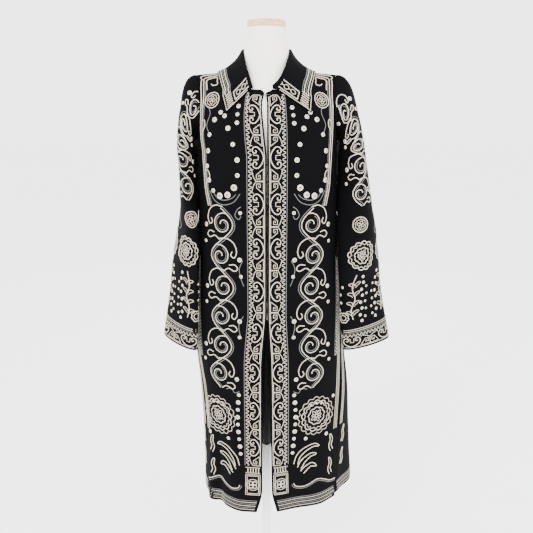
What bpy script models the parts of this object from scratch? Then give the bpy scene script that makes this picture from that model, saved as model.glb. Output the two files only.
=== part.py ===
"""Long black jacket, open down the front, on a limbless white dress form with a round stand.

Units are metres with +Z up. The front faces -Y, and left and right are the viewer's.
The tables below are in millimetres, with heights above the floor.
"""

import math

import bmesh
import bpy
import numpy as np
from mathutils import Vector
from mathutils.bvhtree import BVHTree

MM = 0.001

# Cloth
BODY_WALL = 1.8
SLEEVE_WALL = 1.6
COLLAR_WALL = 1.8
SEAM_GAP = 0.4

# Heights of the jacket
HEM = 348.0
SLIT_TOP = 765.0
UNDERARM = 1310.0
SLIT_OPEN_DEGREES = 2.2

# Stand
POLE_RADIUS = 12.5
BASE_RADIUS = 170.0
BASE_THICK = 6.0
BOSS_RADIUS = 26.0
BOSS_HEIGHT = 34.0
FORM_BOTTOM = 880.0

# Wooden neck cap
CAP_RADIUS = 45.2
CAP_THICK = 15.0
NECK_TOP = 1565.0

# Mesh density
NECK_COLUMNS = 6
BACK_NECK_COLUMNS = 5
SHOULDER_COLUMNS = 8
SKIRT_ROWS = 21
YOKE_ROWS = 10
SLEEVE_HEAD_ROWS = 7
SLEEVE_ROWS = 14
COLLAR_COLUMNS = 44
FORM_NECK_COLUMNS = 5
FORM_ROWS = 11

# One row per section of the jacket's body, in mm and degrees.
BODY = (
    (
        "height", "left", "right", "front", "back",
        "round_left", "round_right", "round_back", "seam_left", "seam_right",
    ),
    (348, 177, 240, 146, 160, 0.97, 1.18, 0.92, 63, 57),
    (525, 175, 230, 143, 152, 0.96, 1.15, 0.92, 65, 60),
    (665, 179, 221, 140, 146, 0.96, 1.10, 0.90, 68, 64),
    (785, 187, 205, 136, 138, 0.96, 1.02, 0.88, 74, 71),
    (905, 182, 194, 131, 128, 0.96, 0.98, 0.88, 80, 78),
    (1025, 174, 183, 126, 116, 0.95, 0.96, 0.88, 85, 84),
    (1225, 168, 173, 122, 104, 0.92, 0.92, 0.88, 89, 89),
    (1310, 167, 171, 108, 98, 0.90, 0.90, 0.88, 90, 90),
)

# The open front's two edges: height, x of the left edge, x of the right edge.
FRONT_EDGES = (
    ("height", "left", "right"),
    (348, -26, 28),
    (415, -11, 14),
    (765, -10, 9),
    (865, -3, 4),
    (905, 0.4, 2.2),
    (1275, 0.6, 2.0),
    (1325, -4, 1.2),
    (1395, -10, 1.0),
    (1421, -4.6, -1.6),
)

# Folds that grow toward the hem: angle from the front, half width in degrees,
# depth at the hem (outward is positive) and the height where the fold starts.
FOLDS = (
    ("angle", "half_width", "depth", "start"),
    (-56, 7, 9, 715),
    (-46, 6, -9, 715),
    (-24, 9, 5, 635),
    (22, 10, -5, 675),
    (40, 8, 5, 635),
    (72, 9, -6, 675),
    (98, 9, 8, 715),
    (120, 11, -9, 775),
    (143, 10, 8, 775),
    (165, 9, -6, 715),
    (-172, 9, 8, 775),
    (-150, 10, -9, 775),
    (-127, 10, 9, 755),
    (-104, 10, -7, 715),
)

# Neckline of one half, from the front corner to the side of the neck: x, y, height.
FRONT_NECK = (
    ("x", "y", "height"),
    (4, -70, 1421),
    (14, -69, 1428),
    (32, -64, 1428),
    (42, -52, 1443),
    (52, -32, 1465),
    (61, 6, 1489),
)
BACK_NECK = (
    ("x", "y", "height"),
    (0, 66, 1483),
    (28, 60, 1484),
    (50, 42, 1487),
    (61, 6, 1489),
)
SHOULDER = (
    ("x", "y", "height"),
    (61, 6, 1489),
    (80, 7, 1477),
    (114, 7, 1466),
    (165, 5, 1461),
)

# Sleeves, one row per section: height, centre x and y, half width and half thickness
# of the flattened tube, and its turn (90 lies along the body's side, 0 lies across).
SLEEVE_LEFT = (
    ("height", "x", "y", "wide", "thick", "turn"),
    (1275, -190, 0, 70, 21, 97),
    (1155, -193, -6, 67, 22, 84),
    (1033, -203.5, -18, 66, 22, 63),
    (915, -213, -30, 64, 21, 53),
    (798, -225, -38, 64, 22, 44),
)
SLEEVE_RIGHT = (
    ("height", "x", "y", "wide", "thick", "turn"),
    (1275, 206, 0, 71, 31, 97),
    (1155, 219.5, -6, 66, 41, 92),
    (1085, 230, -12, 64, 45, 75),
    (1010, 236.5, -20, 66, 38, 48),
    (920, 243, -26, 68, 28, 36),
    (790, 262, -32, 67, 23, 20),
)
CUFF_SLOPE = 0.15

# Collar: the fold line of each side from its front end to the middle of the back,
# and the leaf's outer edge over the same run: x, y, height.
FOLD_LEFT = (
    ("x", "y", "height"),
    (-32, -66, 1436),
    (-40, -57, 1462),
    (-48, -40, 1484),
    (-55, -10, 1511),
    (-57, 8, 1518),
    (-50, 38, 1521),
    (-28, 58, 1522),
    (0, 64, 1522),
)
FOLD_RIGHT = (
    ("x", "y", "height"),
    (14, -69, 1438),
    (26, -65, 1449),
    (42, -50, 1477),
    (55, -12, 1511),
    (57, 8, 1518),
    (50, 38, 1521),
    (28, 58, 1522),
    (0, 64, 1522),
)
LEAF_LEFT = (
    ("x", "y", "height"),
    (-99, -92, 1387),
    (-107, -76, 1420),
    (-112, -50, 1445),
    (-115, -8, 1467),
    (-115, 14, 1466),
    (-106, 58, 1451),
    (-62, 88, 1441),
    (0, 94, 1437),
)
LEAF_RIGHT = (
    ("x", "y", "height"),
    (110, -90, 1386),
    (112, -76, 1417),
    (114, -50, 1445),
    (116, -8, 1467),
    (115, 14, 1466),
    (106, 58, 1451),
    (62, 88, 1441),
    (0, 94, 1437),
)
# Half of the fold's width and how far its two sides drop, the collar's height above
# the neck seam and above the cloth that it lies on, and its stand-off at the fold.
HAIRPIN = 2.3
HAIRPIN_DROP = 4.0
COLLAR_SEAM_RISE = 1.1
COLLAR_OFF_CLOTH = 2.2
COLLAR_KNEE = 3.5

# Dress form, one row per section: height, half width, front, back, roundness.
FORM = (
    ("height", "half", "front", "back", "round"),
    (888, 156, 104, 110, 0.90),
    (925, 158, 105, 112, 0.90),
    (980, 148, 99, 104, 0.92),
    (1060, 122, 88, 84, 0.95),
    (1150, 143, 102, 86, 0.92),
    (1225, 155, 113, 89, 0.90),
    (1310, 156, 99, 88, 0.88),
)
# Neck of the form: half width, front, back, then the heights of its side, front, back.
FORM_NECK = (
    ("half", "front", "back", "at_side", "at_front", "at_back"),
    (53.2, 54.5, 56.5, 1499, 1449, 1496),
    (51.8, 50.0, 54.0, 1517, 1485, 1516),
    (47.5, 46.5, 49.0, 1539, 1523, 1539),
    (44.4, 44.4, 44.4, 1565, 1565, 1565),
)
FORM_EASE = 0.7
PLATE_RISE = 5.0


def curve(keys, values, at):
    """The value at one place on a smooth curve through the given keys and values."""
    if at <= keys[0]:
        return float(values[0])
    if at >= keys[-1]:
        return float(values[-1])
    i = max(k for k in range(len(keys) - 1) if keys[k] <= at)
    gap = keys[i + 1] - keys[i]
    rise = (values[i + 1] - values[i]) / gap

    def slope(k):
        if k == 0 or k == len(keys) - 1:
            return rise
        before = (values[k] - values[k - 1]) / (keys[k] - keys[k - 1])
        after = (values[k + 1] - values[k]) / (keys[k + 1] - keys[k])
        if before * after <= 0:
            return 0.0
        return 2 * before * after / (before + after)

    t = (at - keys[i]) / gap
    return float(
        hermite(values[i], values[i + 1], slope(i) * gap, slope(i + 1) * gap, t)
    )


def smooth(table, height, column):
    """One named column of a table at a height, through a smooth curve."""
    rows = sorted(table[1:])
    k = table[0].index(column)
    return curve([row[0] for row in rows], [row[k] for row in rows], height)


def along(table, count, even=True):
    """Points on the smooth curve through a table of places, from its first to its last.

    They are evenly spaced along the curve, or share out each row's stretch equally.
    """
    points = np.array(table[1:], float)
    share = np.linspace(0, 1, len(points))
    if even:
        steps = np.linalg.norm(np.diff(points, axis=0), axis=1)
        share = np.concatenate([[0], np.cumsum(steps)]) / steps.sum()
    return np.array(
        [
            [curve(share, points[:, k], t) for k in range(3)]
            for t in np.linspace(0, 1, count + 1)
        ]
    )


def hermite(start, end, leave, arrive, t):
    return (
        (2 * t**3 - 3 * t**2 + 1) * start
        + (t**3 - 2 * t**2 + t) * leave
        + (3 * t**2 - 2 * t**3) * end
        + (t**3 - t**2) * arrive
    )


def fold_depth(height, angle):
    """How far the folds move the cloth outward at this height and angle."""
    depth = 0.0
    for middle, half, most, start in FOLDS[1:]:
        if height < start:
            away = (angle - middle + 180) % 360 - 180
            grown = ((start - height) / (start - HEM)) ** 1.3
            depth += most * grown * math.exp(-((away / half) ** 2))
    return depth


def body_point(height, angle):
    """A point of the jacket's outer surface below the underarm."""
    side = "left" if angle < 0 else "right"
    s, c = math.sin(math.radians(angle)), math.cos(math.radians(angle))
    half = smooth(BODY, height, side)
    deep = smooth(BODY, height, "front" if c > 0 else "back")
    power = smooth(BODY, height, "round_" + side if c > 0 else "round_back")
    x = half * math.copysign(abs(s) ** power, s)
    y = -deep * math.copysign(abs(c) ** power, c)
    out = fold_depth(height, angle)
    length = math.hypot(s, c * 1.3)
    return np.array([x + out * s / length, y - out * 1.3 * c / length, height])


def form_point(height, angle):
    """A point of the dress form below its shoulders."""
    s, c = math.sin(math.radians(angle)), math.cos(math.radians(angle))
    half, power = smooth(FORM, height, "half"), smooth(FORM, height, "round")
    deep = smooth(FORM, height, "front" if c > 0 else "back")
    return np.array(
        [
            half * math.copysign(abs(s) ** power, s),
            -deep * math.copysign(abs(c) ** power, c),
            height,
        ]
    )


def edge_angle(height, x):
    """The angle at which a section of the jacket has this x, near its front."""
    side = "left" if x < 0 else "right"
    half, power = smooth(BODY, height, side), smooth(BODY, height, "round_" + side)
    return math.copysign(math.degrees(math.asin((abs(x) / half) ** (1 / power))), x)


def slit_angle(height):
    """Half of the side slit's opening at this height, in degrees."""
    if height >= SLIT_TOP:
        return 0.0
    return SLIT_OPEN_DEGREES * ((SLIT_TOP - height) / (SLIT_TOP - HEM)) ** 0.7


def skirt_heights():
    return np.linspace(HEM, UNDERARM, SKIRT_ROWS + 1)


def yoke(lower, below, top, side, facing):
    """Rows from the underarm section up to the neckline and the shoulder seam.

    lower is the section at the underarm and below is the section 10 mm under it.
    side is 1 on the right and -1 on the left, facing is 1 in front and -1 behind.
    """
    rows = []
    last = len(lower) - 1
    first_shoulder = last - SHOULDER_COLUMNS
    for t in np.linspace(0, 1, YOKE_ROWS + 1)[1:]:
        row = []
        for j in range(last + 1):
            start, end = lower[j], top[j]
            reach = np.linalg.norm(end - start)
            leave = (start - below[j]) / 10 * reach
            share = max(0.0, (j - first_shoulder) / SHOULDER_COLUMNS)
            over = np.array([0, facing * 0.82, 0.32]) * reach
            lean = 0.18 * side * min(1.0, abs(end[0]) / 50)
            inward = np.array([-lean, facing * 0.42, 0.80]) * reach
            blend = min(1.0, max(0.0, (j - first_shoulder + 2.5) / 4))
            arrive = inward * (1 - blend) + over * blend
            hole_leave = np.array([-42 * side, -facing * 145, 120])
            hole_arrive = np.array([42 * side, facing * 120, 120])
            near = share**3
            leave = leave * (1 - near) + hole_leave * near
            arrive = arrive * (1 - near) + hole_arrive * near
            row.append(hermite(start, end, leave, arrive, t))
        rows.append(row)
    return rows


def front_grid(side):
    """Outer surface of one front, rows from hem to top, columns from edge to side."""
    hand = "left" if side < 0 else "right"
    count = NECK_COLUMNS + SHOULDER_COLUMNS

    def section(height):
        first = edge_angle(height, smooth(FRONT_EDGES, height, hand))
        last = side * (smooth(BODY, height, "seam_" + hand) - slit_angle(height))
        return [body_point(height, a) for a in np.linspace(first, last, count + 1)]

    rows = [section(height) for height in skirt_heights()]
    neck = along(FRONT_NECK, NECK_COLUMNS) * (side, 1, 1)
    shoulder = along(SHOULDER, SHOULDER_COLUMNS) * (side, 1, 1)
    top = np.concatenate([neck, shoulder[1:]])
    top[0][0] = smooth(FRONT_EDGES, top[0][2], hand)
    rows += yoke(rows[-1], section(UNDERARM - 10), top, side, 1)
    grid = np.array(rows)
    for row in grid[SKIRT_ROWS:]:
        want = smooth(FRONT_EDGES, row[0][2], hand)
        shift = want - row[0][0]
        for j in range(3):
            row[j][0] += shift * (1 - j / 3)
    return grid


def back_grid():
    """Outer surface of the back, columns from the left seam round to the right seam."""
    half = BACK_NECK_COLUMNS + SHOULDER_COLUMNS

    def section(height, side):
        seam = "seam_left" if side < 0 else "seam_right"
        first = smooth(BODY, height, seam) + slit_angle(height)
        angles = np.linspace(180, first, half + 1)
        return [body_point(height, side * a) for a in angles]

    halves = []
    for side in (-1, 1):
        rows = [section(height, side) for height in skirt_heights()]
        neck = along(BACK_NECK, BACK_NECK_COLUMNS) * (side, 1, 1)
        shoulder = along(SHOULDER, SHOULDER_COLUMNS) * (side, 1, 1)
        top = np.concatenate([neck, shoulder[1:]])
        rows += yoke(rows[-1], section(UNDERARM - 10, side), top, side, -1)
        halves.append(np.array(rows))
    return np.concatenate([halves[0][:, ::-1], halves[1][:, 1:]], axis=1)


def grid_normals(grid):
    """Sum of the face normals round each point of a grid, pointing out."""
    total = np.zeros_like(grid)
    a, b = grid[:-1, :-1], grid[:-1, 1:]
    c, d = grid[1:, 1:], grid[1:, :-1]
    face = np.cross(c - a, d - b)
    middle = (a + b + c + d) / 4 * (1, 1, 0)
    if (face[..., :2] * middle[..., :2]).sum() < 0:
        face = -face
    total[:-1, :-1] += face
    total[:-1, 1:] += face
    total[1:, 1:] += face
    total[1:, :-1] += face
    return total


def shared_normals(grids):
    """Unit normals of several grids, equal where the grids share a point."""
    found = {name: grid_normals(grid) for name, grid in grids.items()}
    sums = {}
    for name, grid in grids.items():
        for place, normal in zip(grid.reshape(-1, 3), found[name].reshape(-1, 3)):
            key = tuple(np.round(place, 2))
            sums[key] = sums.get(key, 0) + normal
    for name, grid in grids.items():
        flat = found[name].reshape(-1, 3)
        for i, place in enumerate(grid.reshape(-1, 3)):
            flat[i] = sums[tuple(np.round(place, 2))]
        flat /= np.linalg.norm(flat, axis=1, keepdims=True)
    return found


def pulled_in(grid, edges):
    """The grid with the points of its seams moved in by half of the seam's gap."""
    moved = grid.copy()

    def pull(edge, inner):
        step = inner - edge
        size = np.linalg.norm(step, axis=-1, keepdims=True)
        return edge + step / np.maximum(size, 1e-6) * SEAM_GAP / 2

    if "first" in edges:
        moved[:, 0] = pull(grid[:, 0], grid[:, 1])
    if "last" in edges:
        moved[:, -1] = pull(grid[:, -1], grid[:, -2])
    if "top" in edges:
        moved[-1] = moved[-1] + pull(grid[-1], grid[-2]) - grid[-1]
    return moved


def material(name, colour, rough, metal=0.0):
    made = bpy.data.materials.new(name)
    made.use_nodes = True
    shader = made.node_tree.nodes["Principled BSDF"]
    shader.inputs["Base Color"].default_value = (*colour, 1)
    shader.inputs["Roughness"].default_value = rough
    shader.inputs["Metallic"].default_value = metal
    return made


def node(name, mesh, made_of, smooth_faces=True):
    """A named object in the jacket's collection."""
    obj = bpy.data.objects.new(name, mesh)
    jacket.objects.link(obj)
    mesh.materials.append(made_of)
    mesh.polygons.foreach_set("use_smooth", [smooth_faces] * len(mesh.polygons))
    return obj


def outward(work):
    bmesh.ops.recalc_face_normals(work, faces=work.faces)
    if work.calc_volume(signed=True) < 0:
        bmesh.ops.reverse_faces(work, faces=work.faces)


def cloth_panel(name, outer, inner, made_of):
    """A closed wall between two grids of the same size."""
    work = bmesh.new()
    rows, columns = outer.shape[:2]
    layers = [
        [[work.verts.new(Vector(p) * MM) for p in row] for row in grid]
        for grid in (outer, inner)
    ]
    for layer in layers:
        for i in range(rows - 1):
            for j in range(columns - 1):
                work.faces.new(
                    (layer[i][j], layer[i][j + 1], layer[i + 1][j + 1], layer[i + 1][j])
                )
    ring = [(0, j) for j in range(columns)]
    ring += [(i, columns - 1) for i in range(1, rows)]
    ring += [(rows - 1, j) for j in range(columns - 2, -1, -1)]
    ring += [(i, 0) for i in range(rows - 2, 0, -1)]
    for (i, j), (m, n) in zip(ring, ring[1:] + ring[:1]):
        work.faces.new(
            (layers[0][i][j], layers[0][m][n], layers[1][m][n], layers[1][i][j])
        )
    outward(work)
    mesh = bpy.data.meshes.new(name)
    work.to_mesh(mesh)
    work.free()
    return node(name, mesh, made_of)


def build_body(made_of):
    """The two fronts and the back. It returns their outer grids and normals."""
    grids = {
        "front_left": front_grid(-1),
        "front_right": front_grid(1),
        "back": back_grid(),
    }
    normals = shared_normals(grids)
    seams = {
        "front_left": ("last", "top"),
        "front_right": ("last", "top"),
        "back": ("first", "last", "top"),
    }
    for name, grid in grids.items():
        outer = pulled_in(grid, seams[name])
        cloth_panel(name, outer, outer - normals[name] * BODY_WALL, made_of)
    return grids, normals


def sleeve_ring(table, height, count, side):
    """One section of a sleeve, from the underarm round by the front."""
    x, y, wide, thick, turn = (smooth(table, height, k) for k in table[0][1:])
    a = math.radians(turn)
    broad = np.array([-side * math.cos(a), -math.sin(a), 0])
    narrow = np.array([side * math.sin(a), -math.cos(a), 0])
    ring = []
    for i in range(count):
        b = 2 * math.pi * i / count
        place = np.array([x, y, height])
        place = place + wide * math.sin(b) * broad - thick * math.cos(b) * narrow
        place[2] += CUFF_SLOPE * side * (place[0] - x)
        ring.append(place)
    return np.array(ring)


def sleeve_rings(side, grids):
    """Outer surface of a sleeve as closed rings, from the armhole to the cuff."""
    front = grids["front_left" if side < 0 else "front_right"]
    back = grids["back"]
    up = front[SKIRT_ROWS:, -1]
    down = back[SKIRT_ROWS:, 0 if side < 0 else -1][::-1]
    hole = np.concatenate([up, down[1:-1]])
    count = len(hole)
    table = SLEEVE_LEFT if side < 0 else SLEEVE_RIGHT
    top, bottom = table[1][0], table[-1][0]
    upper = sleeve_ring(table, top, count, side)
    lower = sleeve_ring(table, top - 10, count, side)
    rings = []
    for t in np.linspace(0, 1, SLEEVE_HEAD_ROWS + 1)[:-1]:
        ring = []
        for i in range(count):
            start = hole[i] + np.array([side * (SEAM_GAP + 0.1), 0, 0])
            reach = np.linalg.norm(upper[i] - start)
            leave = np.array([side * 0.78, 0, 0.02]) * reach
            arrive = (lower[i] - upper[i]) / 10 * reach * 1.15
            ring.append(hermite(start, upper[i], leave, arrive, t))
        rings.append(ring)
    for height in np.linspace(top, bottom, SLEEVE_ROWS + 1):
        rings.append(sleeve_ring(table, height, count, side))
    return np.array(rings)


def ring_normals(rings):
    """Unit normals of a closed tube of rings, pointing away from its middle."""
    around = np.roll(rings, -1, axis=1) - np.roll(rings, 1, axis=1)
    down = np.gradient(rings, axis=0)
    normals = np.cross(around, down)
    middle = rings.mean(axis=1, keepdims=True)
    if (normals * (rings - middle)).sum() < 0:
        normals = -normals
    # The first ring lies in the armhole, so its wall stands square to the seam.
    normals[0, :, 0] = 0
    return normals / np.linalg.norm(normals, axis=2, keepdims=True)


def build_sleeve(name, side, grids, made_of):
    """One sleeve: a closed wall between its outer rings and the same rings moved in."""
    rings = sleeve_rings(side, grids)
    inner = rings - ring_normals(rings) * SLEEVE_WALL
    work = bmesh.new()
    outer_loops = [[work.verts.new(Vector(p) * MM) for p in ring] for ring in rings]
    inner_loops = [[work.verts.new(Vector(p) * MM) for p in ring] for ring in inner]
    loops = outer_loops + inner_loops[::-1]
    count = rings.shape[1]
    for a, b in zip(loops, loops[1:] + loops[:1]):
        for i in range(count):
            k = (i + 1) % count
            work.faces.new((a[i], a[k], b[k], b[i]))
    outward(work)
    mesh = bpy.data.meshes.new(name)
    work.to_mesh(mesh)
    work.free()
    return node(name, mesh, made_of)


def cloth_tree(grids):
    """The jacket's outer surface, for finding the nearest cloth."""
    places, faces = [], []
    for grid in grids.values():
        rows, columns = grid.shape[:2]
        first = len(places)
        places += [Vector(p) for p in grid.reshape(-1, 3)]
        for i in range(rows - 1):
            for j in range(columns - 1):
                a = first + i * columns + j
                faces.append((a, a + 1, a + columns + 1, a + columns))
    return BVHTree.FromPolygons(places, faces)


def nearest_cloth(tree, place):
    """The nearest point of the jacket's surface, and the way out of it there."""
    near, normal, _, _ = tree.find_nearest(Vector(place))
    near, normal = np.array(near), np.array(normal)
    if normal @ (near * (1, 1, 0) + (0, 0, 60)) < 0:
        normal = -normal
    return near, normal


def moved_off(tree, place, least):
    """The place, moved out until it is at least this far from the jacket's surface."""
    near, normal = nearest_cloth(tree, place)
    height = (place - near) @ normal
    return place + normal * max(0.0, least - height)


def moved_in(tree, place, least):
    """The place, moved in until it is at least this far under the jacket's surface."""
    near, normal = nearest_cloth(tree, place)
    depth = (near - place) @ normal
    return place - normal * max(0.0, least - depth)


def neck_places(grids, side):
    """Closely spaced places along one half's neck seam, from the front to the back."""
    front = grids["front_left" if side < 0 else "front_right"][-1]
    back = grids["back"][-1] if side < 0 else grids["back"][-1][::-1]
    behind = back[SHOULDER_COLUMNS : SHOULDER_COLUMNS + BACK_NECK_COLUMNS + 1]
    edge = np.concatenate([front[: NECK_COLUMNS + 1], behind[1:]])
    runs = [np.linspace(a, b, 13)[:-1] for a, b in zip(edge, edge[1:])]
    return np.concatenate(runs + [edge[-1:]])


def collar_column(tree, seam, top, edge):
    """A line of the collar's middle surface: up from the seam, over the fold, down."""
    away = np.array([top[0], top[1] * 1.1 - 2, 0])
    away /= np.linalg.norm(away)
    inside = seam - away * (BODY_WALL / 2) + np.array([0, 0, COLLAR_SEAM_RISE])
    drop = np.array([0, 0, min(HAIRPIN_DROP, (top[2] - seam[2]) * 0.35)])
    pin_in = top - away * HAIRPIN - drop
    pin_out = top + away * HAIRPIN - drop
    rest, _ = nearest_cloth(tree, edge)
    tip = rest + (edge - rest) / np.linalg.norm(edge - rest) * COLLAR_OFF_CLOTH
    tip = moved_off(tree, tip, COLLAR_OFF_CLOTH)
    knee = pin_out * 0.62 + tip * 0.38
    low, _ = nearest_cloth(tree, knee)
    knee = low + (knee - low) / max(np.linalg.norm(knee - low), 1e-6) * COLLAR_KNEE
    column = [inside, (inside + pin_in) / 2, pin_in, top, pin_out]
    for q in (0.14, 0.3, 0.46, 0.62, 0.8, 1.0):
        place = (1 - q) ** 2 * pin_out + 2 * q * (1 - q) * knee + q * q * tip
        over_shoulder = math.exp(-(((place[1] - 7) / 16) ** 2))
        column.append(moved_off(tree, place, COLLAR_OFF_CLOTH + over_shoulder))
    return column


def collar_grid(grids):
    """Middle surface of the collar, from its left front end round to the right one."""
    tree = cloth_tree(grids)
    half = COLLAR_COLUMNS // 2
    columns = []
    for side, fold_rows, leaf_rows in (
        (-1, FOLD_LEFT, LEAF_LEFT),
        (1, FOLD_RIGHT, LEAF_RIGHT),
    ):
        seams = neck_places(grids, side)
        fold = along(fold_rows, half, even=False)
        leaf = along(leaf_rows, half, even=False)
        run = []
        for top, edge in zip(fold, leaf):
            distances = np.linalg.norm((seams - top)[:, :2], axis=1)
            run.append(collar_column(tree, seams[np.argmin(distances)], top, edge))
        columns += run if side < 0 else run[::-1][1:]
    return np.array(columns)


def build_collar(grids, made_of):
    grid = collar_grid(grids)
    work = bmesh.new()
    layer = [[work.verts.new(Vector(p) * MM) for p in row] for row in grid]
    for low, high in zip(layer, layer[1:]):
        for j in range(len(low) - 1):
            work.faces.new((low[j], low[j + 1], high[j + 1], high[j]))
    mesh = bpy.data.meshes.new("collar")
    work.to_mesh(mesh)
    work.free()
    collar = node("collar", mesh, made_of)
    wall = collar.modifiers.new("wall", "SOLIDIFY")
    wall.thickness = COLLAR_WALL * MM
    wall.offset = 0
    wall.use_even_offset = True
    wall.use_rim = True


def form_quarter(tree, side, facing, neckline):
    """A quarter of the form's body, from its lowest section up to its shoulder."""
    drop = BODY_WALL + FORM_EASE
    count = FORM_NECK_COLUMNS + SHOULDER_COLUMNS
    angles = side * np.linspace(0 if facing > 0 else 180, 90, count + 1)
    heights = np.linspace(FORM[1][0], UNDERARM, FORM_ROWS + 1)
    rows = [[form_point(height, a) for a in angles] for height in heights]
    below = [form_point(UNDERARM - 10, a) for a in angles]
    neck = along(neckline, FORM_NECK_COLUMNS) * (side, 1, 1)
    neck[0][0] = 0
    shoulder = along(SHOULDER, SHOULDER_COLUMNS) * (side, 1, 1)
    top = np.concatenate([neck, shoulder[1:]])
    size = np.linalg.norm(top[:, :2], axis=1)
    narrower = (size - drop - 1.5) / size
    last_neck = FORM_NECK_COLUMNS + 1
    top[:, 0] *= narrower
    top[:last_neck, 1] *= narrower[:last_neck]
    top[:, 2] -= drop
    neck_half = abs(top[FORM_NECK_COLUMNS, 0])
    reach = abs(top[last_neck:, 0]) - neck_half
    top[last_neck:, 0] = side * (neck_half + reach * 0.93)
    rows += yoke(np.array(rows[-1]), np.array(below), top, side, facing)
    grid = np.array(rows)
    for row in grid[FORM_ROWS:]:
        for j in range(1, count + 1):
            # Three goes, because the nearest cloth can change as a point moves.
            for _ in range(3):
                row[j] = moved_in(tree, row[j], drop + 0.3)
    return grid


def armhole_rings(quarters, side):
    """Rings that close the form's armhole with a slightly raised plate, and its middle."""
    up = quarters["front", side][FORM_ROWS:, -1]
    down = quarters["back", side][FORM_ROWS:, -1][::-1]
    loop = np.concatenate([up, down[1:-1]])
    middle = loop.mean(axis=0) + (side * PLATE_RISE, 0, 0)
    rings = []
    for share in (0, 0.35, 0.7):
        ring = loop + (middle - loop) * share
        ring[:, 0] += side * PLATE_RISE / 2 * math.sin(math.pi * share)
        rings.append(ring)
    return rings, middle


def neck_rings(quarters):
    """Rings of the form's neck, from its neckline to the flat top under the cap."""
    count = FORM_NECK_COLUMNS
    base = np.concatenate(
        [
            quarters["front", 1][-1, : count + 1],
            quarters["back", 1][-1, :count][::-1],
            quarters["back", -1][-1, 1 : count + 1],
            quarters["front", -1][-1, 1:count][::-1],
        ]
    )
    angles = np.arctan2(base[:, 0], -base[:, 1])
    rings = [base]
    for half, front, back, at_side, at_front, at_back in FORM_NECK[1:]:
        ring = []
        for s, c in zip(np.sin(angles), np.cos(angles)):
            end, deep = (at_front, front) if c > 0 else (at_back, back)
            ring.append((half * s, -deep * c, at_side * s * s + end * c * c))
        rings.append(np.array(ring))
    return rings


def underside_rings():
    """Rings that turn the form's lower edge in with a small radius."""
    quarter = np.linspace(0, 90, FORM_NECK_COLUMNS + SHOULDER_COLUMNS + 1)[:-1]
    angles = np.concatenate([quarter + start for start in (0, 90, 180, 270)])
    lowest = FORM[1][0]
    rings = []
    for shrink, height in ((0, lowest), (2.5, FORM_BOTTOM + 3), (8, FORM_BOTTOM)):
        ring = np.array([form_point(lowest, a) for a in angles])
        size = np.linalg.norm(ring[:, :2], axis=1, keepdims=True)
        ring[:, :2] *= (size - shrink) / size
        ring[:, 2] = height
        rings.append(ring)
    return rings


def build_form(cloth_grids, made_of):
    """The dress form: four quarters, two armhole plates, a neck and a flat underside."""
    work = bmesh.new()
    tree = cloth_tree(cloth_grids)

    def loft(grid, close=False):
        layer = [[work.verts.new(Vector(p) * MM) for p in row] for row in grid]
        for low, high in zip(layer, layer[1:]):
            for j in range(len(low) - (0 if close else 1)):
                k = (j + 1) % len(low)
                work.faces.new((low[j], low[k], high[k], high[j]))
        return layer

    quarters = {}
    for name, facing, neckline in (("front", 1, FRONT_NECK), ("back", -1, BACK_NECK)):
        for side in (-1, 1):
            quarters[name, side] = form_quarter(tree, side, facing, neckline)
            loft(quarters[name, side])
    for side in (-1, 1):
        rings, middle = armhole_rings(quarters, side)
        inner = loft(rings, close=True)[-1]
        hub = work.verts.new(Vector(middle) * MM)
        for a, b in zip(inner, inner[1:] + inner[:1]):
            work.faces.new((a, b, hub))
    for rings in (neck_rings(quarters), underside_rings()):
        work.faces.new(loft(rings, close=True)[-1])
    bmesh.ops.remove_doubles(work, verts=work.verts, dist=0.00002)
    outward(work)
    mesh = bpy.data.meshes.new("dress_form")
    work.to_mesh(mesh)
    work.free()
    node("dress_form", mesh, made_of)


def turned(name, profile, made_of, steps=48):
    """A solid of revolution about the Z axis from its (radius, height) profile."""
    work = bmesh.new()
    verts = [work.verts.new((r * MM, 0, z * MM)) for r, z in profile]
    edges = [work.edges.new((a, b)) for a, b in zip(verts, verts[1:])]
    bmesh.ops.spin(
        work,
        geom=verts + edges,
        cent=(0, 0, 0),
        axis=(0, 0, 1),
        angle=2 * math.pi,
        steps=steps,
    )
    bmesh.ops.remove_doubles(work, verts=work.verts, dist=0.00002)
    outward(work)
    mesh = bpy.data.meshes.new(name)
    work.to_mesh(mesh)
    work.free()
    return node(name, mesh, made_of, smooth_faces=False)


def wire(name, places, radius, made_of):
    """A thin round wire through the given places, with closed ends."""
    curve = bpy.data.curves.new(name, "CURVE")
    curve.dimensions = "3D"
    curve.bevel_depth = radius * MM
    curve.bevel_resolution = 2
    curve.use_fill_caps = True
    curve.resolution_u = 4
    spline = curve.splines.new("POLY")
    spline.points.add(len(places) - 1)
    for point, place in zip(spline.points, places):
        point.co = (*(Vector(place) * MM), 1)
    curve.materials.append(made_of)
    obj = bpy.data.objects.new(name, curve)
    jacket.objects.link(obj)
    return obj


def build_stand(steel, paint):
    turned(
        "stand_base",
        (
            (0, 0),
            (BASE_RADIUS - 1, 0),
            (BASE_RADIUS, 1),
            (BASE_RADIUS, BASE_THICK - 2),
            (BASE_RADIUS - 2, BASE_THICK),
            (BOSS_RADIUS + 4, BASE_THICK),
            (BOSS_RADIUS, BASE_THICK + 4),
            (BOSS_RADIUS, BASE_THICK + BOSS_HEIGHT - 3),
            (BOSS_RADIUS - 3, BASE_THICK + BOSS_HEIGHT),
            (POLE_RADIUS + 0.4, BASE_THICK + BOSS_HEIGHT),
            (POLE_RADIUS + 0.4, BASE_THICK),
            (0, BASE_THICK),
        ),
        paint,
    )
    turned(
        "stand_pole",
        (
            (0, BASE_THICK + 0.4),
            (POLE_RADIUS, BASE_THICK + 0.4),
            (POLE_RADIUS, FORM_BOTTOM - 0.4),
            (0, FORM_BOTTOM - 0.4),
        ),
        steel,
        steps=28,
    )


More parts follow.
